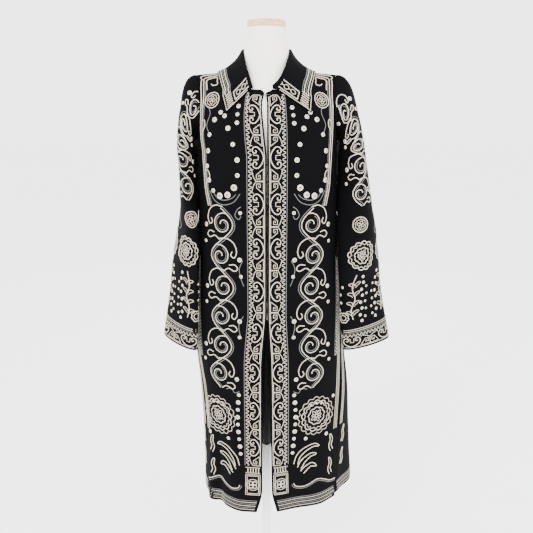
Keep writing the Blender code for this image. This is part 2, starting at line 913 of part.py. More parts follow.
def build_cap(wood):
    low, high = NECK_TOP + 0.4, NECK_TOP + 0.4 + CAP_THICK
    turned(
        "neck_cap",
        (
            (0, low),
            (CAP_RADIUS - 1.5, low),
            (CAP_RADIUS, low + 1.5),
            (CAP_RADIUS, high - 3.5),
            (CAP_RADIUS - 1.2, high - 1.6),
            (CAP_RADIUS - 4, high - 0.6),
            (CAP_RADIUS * 0.5, high - 0.1),
            (0, high),
        ),
        wood,
    )


def build_hook(grids, steel):
    """A wire hook on the left front's corner, caught in a wire eye on the right one's."""
    left = grids["front_left"][-1][0]
    tree = cloth_tree(grids)
    z = left[2] - 7
    near, _, _, _ = tree.find_nearest(Vector((-8, -80, z)))
    y = near[1] - 1.6
    hook = [
        (-13.0, y + 0.1, z),
        (-9.0, y, z),
        (-5.6, y - 0.2, z),
        (-4.4, y - 0.9, z),
        (-3.2, y - 1.5, z),
        (-1.8, y - 1.6, z),
        (-0.7, y - 1.1, z),
        (-0.3, y - 0.3, z),
    ]
    wire("hook", hook, 0.45, steel)
    eye = [(9.0, y + 0.3, z + 2.4)]
    for k in range(9):
        t = math.pi / 2 + math.pi * k / 8
        eye.append((0.4 + 3.2 * math.cos(t), y - 0.2, z + 2.4 * math.sin(t)))
    eye.append((9.0, y + 0.3, z - 2.4))
    wire("eye", eye, 0.4, steel)


for old in list(bpy.data.objects):
    bpy.data.objects.remove(old, do_unlink=True)
jacket = bpy.data.collections.new("long_jacket")
bpy.context.scene.collection.children.link(jacket)
cloth = material("black_cloth", (0.012, 0.012, 0.014), 0.85)
sleeve_cloth = material("black_sleeve_cloth", (0.013, 0.013, 0.015), 0.85)
white = material("white_form_cover", (0.82, 0.81, 0.78), 0.7)
wood = material("light_wood", (0.62, 0.43, 0.25), 0.5)
steel = material("polished_steel", (0.7, 0.7, 0.72), 0.18, 1.0)
paint = material("white_paint", (0.85, 0.85, 0.84), 0.45)
body_grids, body_normals = build_body(cloth)
build_sleeve("sleeve_left", -1, body_grids, sleeve_cloth)
build_sleeve("sleeve_right", 1, body_grids, sleeve_cloth)
build_collar(body_grids, cloth)
build_form(body_grids, white)
build_cap(wood)
build_stand(steel, paint)
build_hook(body_grids, steel)
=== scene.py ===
"""The finish of a long black jacket with couched cord trimming, on a white dress form.

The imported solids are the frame. Tables are in millimetres, with heights above the floor.
The front faces -Y, and left and right are the viewer's.
"""

import math

import bmesh
import bpy
import numpy as np
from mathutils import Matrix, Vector
from mathutils.bvhtree import BVHTree


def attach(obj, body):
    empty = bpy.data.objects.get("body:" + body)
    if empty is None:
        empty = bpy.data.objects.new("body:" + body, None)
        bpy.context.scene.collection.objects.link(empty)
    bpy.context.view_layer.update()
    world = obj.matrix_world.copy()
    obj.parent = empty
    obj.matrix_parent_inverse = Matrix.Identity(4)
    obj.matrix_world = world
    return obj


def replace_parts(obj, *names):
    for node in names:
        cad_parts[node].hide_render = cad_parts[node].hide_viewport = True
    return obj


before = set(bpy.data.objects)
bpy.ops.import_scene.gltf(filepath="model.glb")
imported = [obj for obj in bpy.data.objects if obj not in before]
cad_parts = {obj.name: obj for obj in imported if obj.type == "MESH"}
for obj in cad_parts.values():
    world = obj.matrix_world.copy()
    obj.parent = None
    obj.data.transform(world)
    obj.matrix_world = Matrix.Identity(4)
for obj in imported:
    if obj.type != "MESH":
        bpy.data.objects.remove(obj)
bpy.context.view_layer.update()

MM = 0.001

# Steps of the dressed cloth for each step of its solid
DENSE = 4
NECK_COLUMNS = 6 * DENSE
BACK_NECK_COLUMNS = 5 * DENSE
SHOULDER_COLUMNS = 8 * DENSE
SKIRT_ROWS = 21 * DENSE
YOKE_ROWS = 10 * DENSE
SLEEVE_HEAD_ROWS = 7 * DENSE
SLEEVE_ROWS = 14 * DENSE
COLLAR_COLUMNS = 88
FORM_NECK_COLUMNS = 5 * DENSE
FORM_ROWS = 11 * DENSE

# The jacket's own form, as its solids have it
CLOTH = 1.3
SOLID_WALL = 1.8
SEAM_GAP = 0.4
HEM = 348.0
SLIT_TOP = 765.0
UNDERARM = 1310.0
SLIT_OPEN_DEGREES = 2.2
SLIT_GROWTH = 0.7
FOLD_GROWTH = 1.3

# A fold points more to the front or back than its angle, as on any flattened section
FOLD_LEAN = 1.3

# How the yoke's rows go over the shoulder, and leave and reach the armhole, in (x, y, z)
YOKE_OVER = (0, 0.82, 0.32)
HOLE_LEAVE = (-42, -145, 120)
HOLE_ARRIVE = (42, 120, 120)

BODY = (
    (
        "height", "left", "right", "front", "back",
        "round_left", "round_right", "round_back", "seam_left", "seam_right",
    ),
    (348, 177, 240, 146, 160, 0.97, 1.18, 0.92, 63, 57),
    (525, 175, 230, 143, 152, 0.96, 1.15, 0.92, 65, 60),
    (665, 179, 221, 140, 146, 0.96, 1.10, 0.90, 68, 64),
    (785, 187, 205, 136, 138, 0.96, 1.02, 0.88, 74, 71),
    (905, 182, 194, 131, 128, 0.96, 0.98, 0.88, 80, 78),
    (1025, 174, 183, 126, 116, 0.95, 0.96, 0.88, 85, 84),
    (1225, 168, 173, 122, 104, 0.92, 0.92, 0.88, 89, 89),
    (1310, 167, 171, 108, 98, 0.90, 0.90, 0.88, 90, 90),
)
FRONT_EDGES = (
    ("height", "left", "right"),
    (348, -26, 28),
    (415, -11, 14),
    (765, -10, 9),
    (865, -3, 4),
    (905, 0.4, 2.2),
    (1275, 0.6, 2.0),
    (1325, -4, 1.2),
    (1395, -10, 1.0),
    (1421, -4.6, -1.6),
)
FOLDS = (
    ("angle", "half_width", "depth", "start"),
    (-56, 7, 9, 715),
    (-46, 6, -9, 715),
    (-24, 9, 5, 635),
    (22, 10, -5, 675),
    (40, 8, 5, 635),
    (72, 9, -6, 675),
    (98, 9, 8, 715),
    (120, 11, -9, 775),
    (143, 10, 8, 775),
    (165, 9, -6, 715),
    (-172, 9, 8, 775),
    (-150, 10, -9, 775),
    (-127, 10, 9, 755),
    (-104, 10, -7, 715),
)
FRONT_NECK = (
    ("x", "y", "height"),
    (4, -70, 1421),
    (14, -69, 1428),
    (32, -64, 1428),
    (42, -52, 1443),
    (52, -32, 1465),
    (61, 6, 1489),
)
BACK_NECK = (
    ("x", "y", "height"),
    (0, 66, 1483),
    (28, 60, 1484),
    (50, 42, 1487),
    (61, 6, 1489),
)
SHOULDER = (
    ("x", "y", "height"),
    (61, 6, 1489),
    (80, 7, 1477),
    (114, 7, 1466),
    (165, 5, 1461),
)
SLEEVE_LEFT = (
    ("height", "x", "y", "wide", "thick", "turn"),
    (1275, -190, 0, 70, 21, 97),
    (1155, -193, -6, 67, 22, 84),
    (1033, -203.5, -18, 66, 22, 63),
    (915, -213, -30, 64, 21, 53),
    (798, -225, -38, 64, 22, 44),
)
SLEEVE_RIGHT = (
    ("height", "x", "y", "wide", "thick", "turn"),
    (1275, 206, 0, 71, 31, 97),
    (1155, 219.5, -6, 66, 41, 92),
    (1085, 230, -12, 64, 45, 75),
    (1010, 236.5, -20, 66, 38, 48),
    (920, 243, -26, 68, 28, 36),
    (790, 262, -32, 67, 23, 20),
)
CUFF_SLOPE = 0.15
FOLD_LEFT = (
    ("x", "y", "height"),
    (-32, -66, 1436),
    (-40, -57, 1462),
    (-48, -40, 1484),
    (-55, -10, 1511),
    (-57, 8, 1518),
    (-50, 38, 1521),
    (-28, 58, 1522),
    (0, 64, 1522),
)
FOLD_RIGHT = (
    ("x", "y", "height"),
    (14, -69, 1438),
    (26, -65, 1449),
    (42, -50, 1477),
    (55, -12, 1511),
    (57, 8, 1518),
    (50, 38, 1521),
    (28, 58, 1522),
    (0, 64, 1522),
)
LEAF_LEFT = (
    ("x", "y", "height"),
    (-99, -92, 1387),
    (-107, -76, 1420),
    (-112, -50, 1445),
    (-115, -8, 1467),
    (-115, 14, 1466),
    (-106, 58, 1451),
    (-62, 88, 1441),
    (0, 94, 1437),
)
LEAF_RIGHT = (
    ("x", "y", "height"),
    (110, -90, 1386),
    (112, -76, 1417),
    (114, -50, 1445),
    (116, -8, 1467),
    (115, 14, 1466),
    (106, 58, 1451),
    (62, 88, 1441),
    (0, 94, 1437),
)
HAIRPIN = 2.3
HAIRPIN_DROP = 4.0
COLLAR_SEAM_RISE = 1.1
COLLAR_OFF_CLOTH = 2.2
COLLAR_KNEE = 3.5
COLLAR_CLOTH = 1.5

# The collar's rows where its leaf begins, and the leaf's column that is measured
LEAF_FIRST = 5
LEAF_MEASURED = 10

# Turned pieces: steps round them, their sharpest smooth edge, and the welding distance
TURNED_STEPS = 96
SHARP_DEGREES = 35
WELD = 0.00002

# The dress form and its stand
FORM = (
    ("height", "half", "front", "back", "round"),
    (888, 156, 104, 110, 0.90),
    (925, 158, 105, 112, 0.90),
    (980, 148, 99, 104, 0.92),
    (1060, 122, 88, 84, 0.95),
    (1150, 143, 102, 86, 0.92),
    (1225, 155, 113, 89, 0.90),
    (1310, 156, 99, 88, 0.88),
)
FORM_NECK = (
    ("half", "front", "back", "at_side", "at_front", "at_back"),
    (53.2, 54.5, 56.5, 1499, 1449, 1496),
    (51.8, 50.0, 54.0, 1517, 1485, 1516),
    (47.5, 46.5, 49.0, 1539, 1523, 1539),
    (44.4, 44.4, 44.4, 1565, 1565, 1565),
)
FORM_DROP = 2.5
PLATE_RISE = 5.0
FORM_BOTTOM = 880.0
POLE_RADIUS = 12.5
BASE_RADIUS = 170.0
BASE_THICK = 6.0
BOSS_RADIUS = 26.0
BOSS_HEIGHT = 34.0
CAP_RADIUS = 45.2
CAP_THICK = 15.0
NECK_TOP = 1565.0
STAND_GAP = 0.4
TUBE_TOP = 466.0
TUBE_WALL = 1.6
ROD_FOOT = 200

# Creases that the solids are too coarse for, as (x, height) of both ends, seen from
# the front or the back, then half width and depth. Negative depths are troughs.
FRONT_CREASES = (
    ("x0", "z0", "x1", "z1", "half", "depth"),
    (-150, 1296, -96, 1246, 9, -2.6),
    (-146, 1272, -104, 1226, 7, 1.6),
    (152, 1292, 100, 1236, 9, -2.4),
    (150, 1268, 112, 1220, 7, 1.5),
    (-92, 1102, -30, 1084, 12, -2.0),
    (30, 1090, 104, 1110, 11, -2.2),
    (-120, 1040, -60, 1062, 10, 1.4),
    (62, 1056, 128, 1034, 10, 1.5),
    (-52, 880, -64, 640, 15, 2.2),
    (-96, 900, -120, 690, 16, -2.6),
    (-30, 700, -34, 470, 10, -1.8),
    (-84, 660, -92, 400, 14, 3.0),
    (58, 860, 74, 600, 15, 2.4),
    (104, 900, 126, 650, 16, -2.8),
    (42, 640, 46, 430, 10, -1.8),
    (96, 620, 112, 380, 14, 3.2),
    (-70, 1396, -118, 1362, 9, -1.5),
    (74, 1392, 120, 1356, 9, -1.5),
)
BACK_CREASES = (
    ("x0", "z0", "x1", "z1", "half", "depth"),
    (-148, 1300, -92, 1252, 10, -2.6),
    (150, 1296, 96, 1250, 10, -2.5),
    (-90, 1120, -22, 1094, 13, -2.4),
    (18, 1090, 92, 1116, 12, -2.6),
    (-70, 1060, 34, 1050, 13, 2.0),
    (-56, 960, -70, 640, 17, 3.0),
    (60, 940, 78, 620, 17, 3.0),
    (-8, 900, -10, 600, 14, -2.4),
    (-112, 900, -130, 640, 16, -2.8),
    (118, 890, 136, 640, 16, -2.6),
    (-60, 1424, -116, 1392, 10, -1.6),
    (56, 1422, 118, 1388, 10, -1.6),
)
SLEEVE_CREASES = {
    "sleeve_left": (
        ("x0", "z0", "x1", "z1", "half", "depth"),
        (-176, 1186, -206, 1150, 9, -2.6),
        (-180, 1152, -212, 1118, 8, 2.0),
        (-184, 1118, -216, 1096, 8, -2.6),
        (-182, 1068, -224, 1052, 9, -2.8),
        (-186, 1042, -230, 1030, 8, 2.0),
        (-190, 1010, -236, 1006, 9, -2.2),
        (-196, 948, -238, 900, 11, 1.8),
        (-173, 1200, -171.5, 1010, 20, 4.5),
    ),
    "sleeve_right": (
        ("x0", "z0", "x1", "z1", "half", "depth"),
        (192, 1190, 232, 1148, 10, -3.0),
        (196, 1150, 246, 1116, 9, 2.4),
        (202, 1112, 262, 1088, 10, -3.4),
        (208, 1082, 268, 1058, 9, 2.2),
        (204, 1046, 272, 1034, 10, -3.2),
        (208, 1008, 276, 1006, 9, 2.0),
        (214, 968, 278, 980, 10, -2.4),
        (222, 930, 250, 856, 12, 1.8),
        (180, 1215, 187, 980, 26, 8.5),
        (183.5, 1136, 187.5, 1004, 22, 2.6),
    ),
}
SLEEVE_BACK_CREASES = {
    "sleeve_left": (
        ("x0", "z0", "x1", "z1", "half", "depth"),
        (-182, 1204, -216, 1170, 9, -2.4),
        (-184, 1142, -222, 1116, 8, -2.6),
        (-190, 1090, -228, 1074, 8, 1.8),
        (-190, 1046, -232, 1036, 9, -2.4),
        (-198, 992, -240, 978, 10, -2.0),
        (-172.5, 1236, -172, 1122, 12, 2.2),
    ),
    "sleeve_right": (
        ("x0", "z0", "x1", "z1", "half", "depth"),
        (196, 1206, 238, 1166, 10, -2.6),
        (200, 1136, 252, 1104, 9, -2.8),
        (206, 1092, 262, 1066, 9, 2.0),
        (208, 1030, 272, 1022, 10, -2.6),
        (216, 978, 280, 966, 10, -2.2),
        (177.5, 1252, 179.5, 1122, 12, 2.0),
    ),
}

# How far off a crease's place is looked for, and from how deep where nothing is in line
RAY_START = 600
SEARCH_DEPTH = 140

# Each sheet's widest row and longest column in metres, how it is held, and what it rests on
SHEETS = {
    "front_left": ((0.24, 1.18), "hung", "form_cover"),
    "front_right": ((0.245, 1.18), "hung", "form_cover"),
    "back": ((0.756, 1.17), "hung", "form_cover"),
    "sleeve_left": ((0.343, 0.685), "hung", "front_left_cloth"),
    "sleeve_right": ((0.361, 0.707), "hung", "front_right_cloth"),
    "collar": ((0.574, 0.136), "folded", "back_cloth"),
}

# How far the back's lower corners are drawn in, at its first and last columns
BACK_FEET = (2.5, -9.5)
BACK_FEET_TOP = 640
BACK_FEET_TALL = 260
BACK_FEET_WIDE = 60

# Couched cord and sewn discs
BORDER_REPEAT = 103.0
BORDER_LOW = 490.0
HEM_LINES = 6
HEM_LINE_LOW = 356
HEM_LINE_PITCH = 5.4
YOKE_TALL = 145
CORD_MARGIN = 1.6
COLLAR_MARGIN = 0.6
DISC_MARGIN = 5.5
DISC_LIFT = 0.1
CORD_WIDTHS = {"bright": 2.3, "fine": 1.5, "grey": 1.6}
CORD_SUNK = 0.07
CORD_SECTION = (
    (-0.5, 0), (-0.43, 0.33), (-0.24, 0.53), (0, 0.39), (0.24, 0.53), (0.43, 0.33), (0.5, 0)
)
DISC_RADIUS = 6.0
DISC_SIDES = 10
DISC_PROFILE = ((0, 1.1), (2.6, 2.1), (5.4, 1.4), (6.0, 0), (0, 0))

# The studio, in metres, watts and degrees
FLOOR_WIDE = 30
SKY_STRENGTH = 4.0
LAMPS = (
    ("name", "place", "aim", "size", "power"),
    ("key", (-1.6, -2.4, 2.7), (0, 0, 1.1), 1.6, 110),
    ("fill", (2.2, -1.8, 1.6), (0, 0, 1.0), 1.8, 55),
    ("back", (0.6, 2.6, 2.6), (0, 0, 1.2), 1.8, 40),
)
SENSOR = 36
FOCAL_PIXELS = 586
FRAME_PIXELS = 533
CAMERA_PLACE = (0, -1.453, 1.425)
CAMERA_TILT = 16.7


def linear(code):
    """A colour's linear values from its sRGB hex code."""
    parts = [int(code[i : i + 2], 16) / 255 for i in (1, 3, 5)]
    return [c / 12.92 if c <= 0.04045 else ((c + 0.055) / 1.055) ** 2.4 for c in parts]


def node(tree, kind, links=None, **settings):
    """Adds a node. links gives its sockets' sources, or plain values."""
    made = tree.nodes.new(kind)
    for name, value in settings.items():
        setattr(made, name, value)
    for name, source in (links or {}).items():
        socket = made.inputs[name]
        if isinstance(source, bpy.types.NodeSocket):
            tree.links.new(source, socket)
        else:
            socket.default_value = source
    return made


def surface(name, colour, rough, **sockets):
    """A material with its own Principled shader, and that shader and its tree."""
    made = bpy.data.materials.new(name)
    made.use_nodes = True
    tree = made.node_tree
    shader = tree.nodes["Principled BSDF"]
    shader.inputs["Base Color"].default_value = (*linear(colour), 1)
    shader.inputs["Roughness"].default_value = rough
    for socket, value in sockets.items():
        shader.inputs[socket.replace("_", " ")].default_value = value
    return made, tree, shader


def curve(keys, values, at):
    """The value at one place on a smooth curve through the given keys and values."""
    if at <= keys[0]:
        return float(values[0])
    if at >= keys[-1]:
        return float(values[-1])
    i = max(k for k in range(len(keys) - 1) if keys[k] <= at)
    gap = keys[i + 1] - keys[i]
    rise = (values[i + 1] - values[i]) / gap

    def slope(k):
        if k == 0 or k == len(keys) - 1:
            return rise
        before = (values[k] - values[k - 1]) / (keys[k] - keys[k - 1])
        after = (values[k + 1] - values[k]) / (keys[k + 1] - keys[k])
        if before * after <= 0:
            return 0.0
        return 2 * before * after / (before + after)

    t = (at - keys[i]) / gap
    leave, arrive = slope(i) * gap, slope(i + 1) * gap
    return float(hermite(values[i], values[i + 1], leave, arrive, t))


def hermite(start, end, leave, arrive, t):
    """A place along a curve with these ends, and these directions at them."""
    return (
        (2 * t**3 - 3 * t**2 + 1) * start
        + (t**3 - 2 * t**2 + t) * leave
        + (3 * t**2 - 2 * t**3) * end
        + (t**3 - t**2) * arrive
    )


def smooth(table, height, column):
    """One named column of a table at a height, through a smooth curve."""
    rows = sorted(table[1:])
    k = table[0].index(column)
    return curve([row[0] for row in rows], [row[k] for row in rows], height)


def along(table, count, even=True):
    """Points on the smooth curve through a table of places, from its first to its last."""
    points = np.array(table[1:], float)
    share = np.linspace(0, 1, len(points))
    if even:
        steps = np.linalg.norm(np.diff(points, axis=0), axis=1)
        share = np.concatenate([[0], np.cumsum(steps)]) / steps.sum()
    shares = np.linspace(0, 1, count + 1)
    return np.array([[curve(share, points[:, k], t) for k in range(3)] for t in shares])


def fold_depth(height, angle):
    """How far the folds move the cloth outward at this height and angle."""
    depth = 0.0
    for middle, half, most, start in FOLDS[1:]:
        if height < start:
            away = (angle - middle + 180) % 360 - 180
            grown = ((start - height) / (start - HEM)) ** FOLD_GROWTH
            depth += most * grown * math.exp(-((away / half) ** 2))
    return depth


def section(height, angles):
    """Points of the jacket's outer surface below the underarm, at one height."""
    deep_front, deep_back = smooth(BODY, height, "front"), smooth(BODY, height, "back")
    half = {side: smooth(BODY, height, side) for side in ("left", "right")}
    power = {k: smooth(BODY, height, "round_" + k) for k in ("left", "right", "back")}
    row = []
    for angle in angles:
        side = "left" if angle < 0 else "right"
        s, c = math.sin(math.radians(angle)), math.cos(math.radians(angle))
        deep, bent = (deep_front, power[side]) if c > 0 else (deep_back, power["back"])
        x = half[side] * math.copysign(abs(s) ** bent, s)
        y = -deep * math.copysign(abs(c) ** bent, c)
        out = fold_depth(height, angle)
        length = math.hypot(s, c * FOLD_LEAN)
        row.append((x + out * s / length, y - out * FOLD_LEAN * c / length, height))
    return np.array(row)


def edge_angle(height, x):
    """The angle at which a section of the jacket has this x, near its front."""
    side = "left" if x < 0 else "right"
    half, power = smooth(BODY, height, side), smooth(BODY, height, "round_" + side)
    return math.copysign(math.degrees(math.asin((abs(x) / half) ** (1 / power))), x)


def slit_angle(height):
    """Half of the side slit's opening at this height, in degrees."""
    if height >= SLIT_TOP:
        return 0.0
    return SLIT_OPEN_DEGREES * ((SLIT_TOP - height) / (SLIT_TOP - HEM)) ** SLIT_GROWTH


def yoke(lower, below, top, side, facing):
    """Rows from the underarm section up to the neckline and the shoulder seam."""
    rows = []
    last = len(lower) - 1
    first_shoulder = last - SHOULDER_COLUMNS
    hole_leave = np.array(HOLE_LEAVE) * (side, facing, 1)
    hole_arrive = np.array(HOLE_ARRIVE) * (side, facing, 1)
    for t in np.linspace(0, 1, YOKE_ROWS + 1)[1:]:
        row = []
        for j in range(last + 1):
            start, end = lower[j], top[j]
            reach = np.linalg.norm(end - start)
            leave = (start - below[j]) / 10 * reach
            share = max(0.0, (j - first_shoulder) / SHOULDER_COLUMNS)
            over = np.array(YOKE_OVER) * (1, facing, 1) * reach
            lean = 0.18 * side * min(1.0, abs(end[0]) / 50)
            inward = np.array([-lean, facing * 0.42, 0.80]) * reach
            blend = min(1.0, max(0.0, ((j - first_shoulder) / DENSE + 2.5) / 4))
            arrive = inward * (1 - blend) + over * blend
            near = share**3
            leave = leave * (1 - near) + hole_leave * near
            arrive = arrive * (1 - near) + hole_arrive * near
            row.append(hermite(start, end, leave, arrive, t))
        rows.append(row)
    return rows


def skirt_heights():
    """The heights of a panel's rows from the hem to the underarm."""
    return np.linspace(HEM, UNDERARM, SKIRT_ROWS + 1)


def front_grid(side):
    """Outer surface of one front, rows from hem to top, columns from edge to side."""
    hand = "left" if side < 0 else "right"
    count = NECK_COLUMNS + SHOULDER_COLUMNS

    def row_at(height):
        first = edge_angle(height, smooth(FRONT_EDGES, height, hand))
        last = side * (smooth(BODY, height, "seam_" + hand) - slit_angle(height))
        return section(height, np.linspace(first, last, count + 1))

    rows = [row_at(height) for height in skirt_heights()]
    neck = along(FRONT_NECK, NECK_COLUMNS) * (side, 1, 1)
    shoulder = along(SHOULDER, SHOULDER_COLUMNS) * (side, 1, 1)
    top = np.concatenate([neck, shoulder[1:]])
    top[0][0] = smooth(FRONT_EDGES, top[0][2], hand)
    rows += yoke(rows[-1], row_at(UNDERARM - 10), top, side, 1)
    grid = np.array(rows)
    for row in grid[SKIRT_ROWS:]:
        shift = smooth(FRONT_EDGES, row[0][2], hand) - row[0][0]
        for j in range(3 * DENSE):
            row[j][0] += shift * (1 - j / (3 * DENSE))
    return grid


def back_grid():
    """Outer surface of the back, columns from the left seam round to the right seam."""
    half = BACK_NECK_COLUMNS + SHOULDER_COLUMNS

    def row_at(height, side):
        seam = "seam_left" if side < 0 else "seam_right"
        first = smooth(BODY, height, seam) + slit_angle(height)
        return section(height, side * np.linspace(180, first, half + 1))

    halves = []
    for side in (-1, 1):
        rows = [row_at(height, side) for height in skirt_heights()]
        neck = along(BACK_NECK, BACK_NECK_COLUMNS) * (side, 1, 1)
        shoulder = along(SHOULDER, SHOULDER_COLUMNS) * (side, 1, 1)
        top = np.concatenate([neck, shoulder[1:]])
        rows += yoke(rows[-1], row_at(UNDERARM - 10, side), top, side, -1)
        halves.append(np.array(rows))
    return np.concatenate([halves[0][:, ::-1], halves[1][:, 1:]], axis=1)


def grid_normals(grid):
    """Sum of the face normals round each point of a grid, pointing out."""
    total = np.zeros_like(grid)
    a, b = grid[:-1, :-1], grid[:-1, 1:]
    c, d = grid[1:, 1:], grid[1:, :-1]
    face = np.cross(c - a, d - b)
    middle = (a + b + c + d) / 4 * (1, 1, 0)
    if (face[..., :2] * middle[..., :2]).sum() < 0:
        face = -face
    for part in (total[:-1, :-1], total[:-1, 1:], total[1:, 1:], total[1:, :-1]):
        part += face
    return total


def shared_normals(grids):
    """Unit normals of several grids, equal where the grids share a point."""
    found = {name: grid_normals(grid) for name, grid in grids.items()}
    sums = {}
    for name, grid in grids.items():
        for place, normal in zip(grid.reshape(-1, 3), found[name].reshape(-1, 3)):
            key = tuple(np.round(place, 2))
            sums[key] = sums.get(key, 0) + normal
    for name, grid in grids.items():
        flat = found[name].reshape(-1, 3)
        for i, place in enumerate(grid.reshape(-1, 3)):
            flat[i] = sums[tuple(np.round(place, 2))]
        flat /= np.linalg.norm(flat, axis=1, keepdims=True)
    return found


def pulled_in(grid, edges):
    """The grid with the points of its seams moved in by half of the seam's gap."""
    moved = grid.copy()

    def pull(edge, inner):
        step = inner - edge
        size = np.linalg.norm(step, axis=-1, keepdims=True)
        return step / np.maximum(size, 1e-6) * SEAM_GAP / 2

    if "first" in edges:
        moved[:, 0] += pull(grid[:, 0], grid[:, 1])
    if "last" in edges:
        moved[:, -1] += pull(grid[:, -1], grid[:, -2])
    if "top" in edges:
        moved[-1] += pull(grid[-1], grid[-2])
    return moved


def sleeve_ring(table, height, count, side):
    """One section of a sleeve, from the underarm round by the front."""
    x, y, wide, thick, turn = (smooth(table, height, k) for k in table[0][1:])
    a = math.radians(turn)
    broad = np.array([-side * math.cos(a), -math.sin(a), 0])
    narrow = np.array([side * math.sin(a), -math.cos(a), 0])
    ring = []
    for i in range(count):
        b = 2 * math.pi * i / count
        place = np.array([x, y, height])
        place = place + wide * math.sin(b) * broad - thick * math.cos(b) * narrow
        place[2] += CUFF_SLOPE * side * (place[0] - x)
        ring.append(place)
    return np.array(ring)


def sleeve_rings(side, grids):
    """Outer surface of a sleeve as closed rings, from the armhole to the cuff."""
    front = grids["front_left" if side < 0 else "front_right"]
    up = front[SKIRT_ROWS:, -1]
    down = grids["back"][SKIRT_ROWS:, 0 if side < 0 else -1][::-1]
    hole = np.concatenate([up, down[1:-1]])
    count = len(hole)
    table = SLEEVE_LEFT if side < 0 else SLEEVE_RIGHT
    top, bottom = table[1][0], table[-1][0]
    upper = sleeve_ring(table, top, count, side)
    lower = sleeve_ring(table, top - 10, count, side)
    start = hole + (side * (SEAM_GAP + 0.1), 0, 0)
    reach = np.linalg.norm(upper - start, axis=1, keepdims=True)
    leave = np.array([side * 0.78, 0, 0.02]) * reach
    arrive = (lower - upper) / 10 * reach * 1.15
    shares = np.linspace(0, 1, SLEEVE_HEAD_ROWS + 1)[:-1]
    rings = [hermite(start, upper, leave, arrive, t) for t in shares]
    for height in np.linspace(top, bottom, SLEEVE_ROWS + 1):
        rings.append(sleeve_ring(table, height, count, side))
    return np.array(rings)


def ring_normals(rings):
    """Unit normals of a closed tube of rings, pointing away from its middle."""
    around = np.roll(rings, -1, axis=1) - np.roll(rings, 1, axis=1)
    down = np.gradient(rings, axis=0)
    normals = np.cross(around, down)
    if (normals * (rings - rings.mean(axis=1, keepdims=True))).sum() < 0:
        normals = -normals
    normals[0, :, 0] = 0
    return normals / np.linalg.norm(normals, axis=2, keepdims=True)


def tree_of(grids, closed=False):
    """A search tree over the outer surface of one or more grids."""
    places, faces = [], []
    for grid in grids:
        rows, columns = grid.shape[:2]
        first = len(places)
        places += [Vector(p) for p in grid.reshape(-1, 3)]
        for i in range(rows - 1):
            for j in range(columns if closed else columns - 1):
                k = (j + 1) % columns
                a, b = first + i * columns + j, first + i * columns + k
                faces.append((a, b, b + columns, a + columns))
    return BVHTree.FromPolygons(places, faces)


def nearest_cloth(tree, place):
    """The nearest point of the jacket's surface, and the way out of it there."""
    near, normal, _, _ = tree.find_nearest(Vector(place))
    near, normal = np.array(near), np.array(normal)
    if normal @ (near * (1, 1, 0) + (0, 0, 60)) < 0:
        normal = -normal
    return near, normal


def moved_off(tree, place, least):
    """The place, moved out until it is at least this far from the jacket's surface."""
    near, normal = nearest_cloth(tree, place)
    return place + normal * max(0.0, least - (place - near) @ normal)


def moved_in(tree, place, least):
    """The place, moved in until it is at least this far under the jacket's surface."""
    near, normal = nearest_cloth(tree, place)
    return place - normal * max(0.0, least - (near - place) @ normal)


def seen_from(tree, facing):
    """A finder of the surface's point and normal at an (x, height), from one side."""

    def find(x, height):
        start = Vector((x, -RAY_START * facing, height))
        hit, normal, _, _ = tree.ray_cast(start, Vector((0, facing, 0)))
        if hit is None:
            hit, normal, _, _ = tree.find_nearest(Vector((x, -SEARCH_DEPTH * facing, height)))
        if normal.y * facing > 0:
            normal = -normal
        return np.array(hit), np.array(normal)

    return find


def creased(grid, normals, creases, find):
    """The grid with soft troughs and ridges pressed into it along its normals."""
    moved = np.zeros(grid.shape[:2])
    for x0, z0, x1, z1, half, depth in creases[1:]:
        (start, out), (end, _) = find(x0, z0), find(x1, z1)
        run = end - start
        share = np.clip(((grid - start) @ run) / (run @ run), 0, 1)
        off = grid - start - share[..., None] * run
        rise = (off * normals).sum(axis=-1, keepdims=True)
        away = np.linalg.norm(off - rise * normals, axis=-1)
        same_side = np.clip((normals @ out) * 2, 0, 1)
        taper = 0.25 + 0.75 * np.sin(math.pi * share) ** 0.7
        moved += depth * taper * same_side * np.exp(-((away / half) ** 2))
    return grid + normals * moved[..., None]


def run_along(grid, axis):
    """Distance from a grid's first row, or from its first column where the axis is 1."""
    steps = np.cumsum(np.linalg.norm(np.diff(grid, axis=axis), axis=2), axis=axis)
    return np.concatenate([np.zeros_like(steps.take([0], axis)), steps], axis=axis)


def outward(work):
    """Turns the faces of a closed form outwards."""
    bmesh.ops.recalc_face_normals(work, faces=work.faces)
    if work.calc_volume(signed=True) < 0:
        bmesh.ops.reverse_faces(work, faces=work.faces)


def added(name, data):
    """A new object with this data, linked to the scene."""
    obj = bpy.data.objects.new(name, data)
    bpy.context.scene.collection.objects.link(obj)
    return obj


def made_plain(name, obj):
    """The object's evaluated mesh as a plain piece, in place of it and its modifiers."""
    final = obj.evaluated_get(bpy.context.evaluated_depsgraph_get())
    mesh = bpy.data.meshes.new_from_object(final)
    bpy.data.objects.remove(obj, do_unlink=True)
    return added(name, mesh)


def finished(name, work, made_of):
    """A smooth mesh object from a finished bmesh, linked to the scene."""
    mesh = bpy.data.meshes.new(name)
    work.to_mesh(mesh)
    work.free()
    mesh.materials.append(made_of)
    mesh.polygons.foreach_set("use_smooth", [True] * len(mesh.polygons))
    return added(name, mesh)


def seated(piece, solid, slot):
    """The piece, riding in the place of its solid; the slot it is given is not used."""
    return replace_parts(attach(piece, "root"), solid)


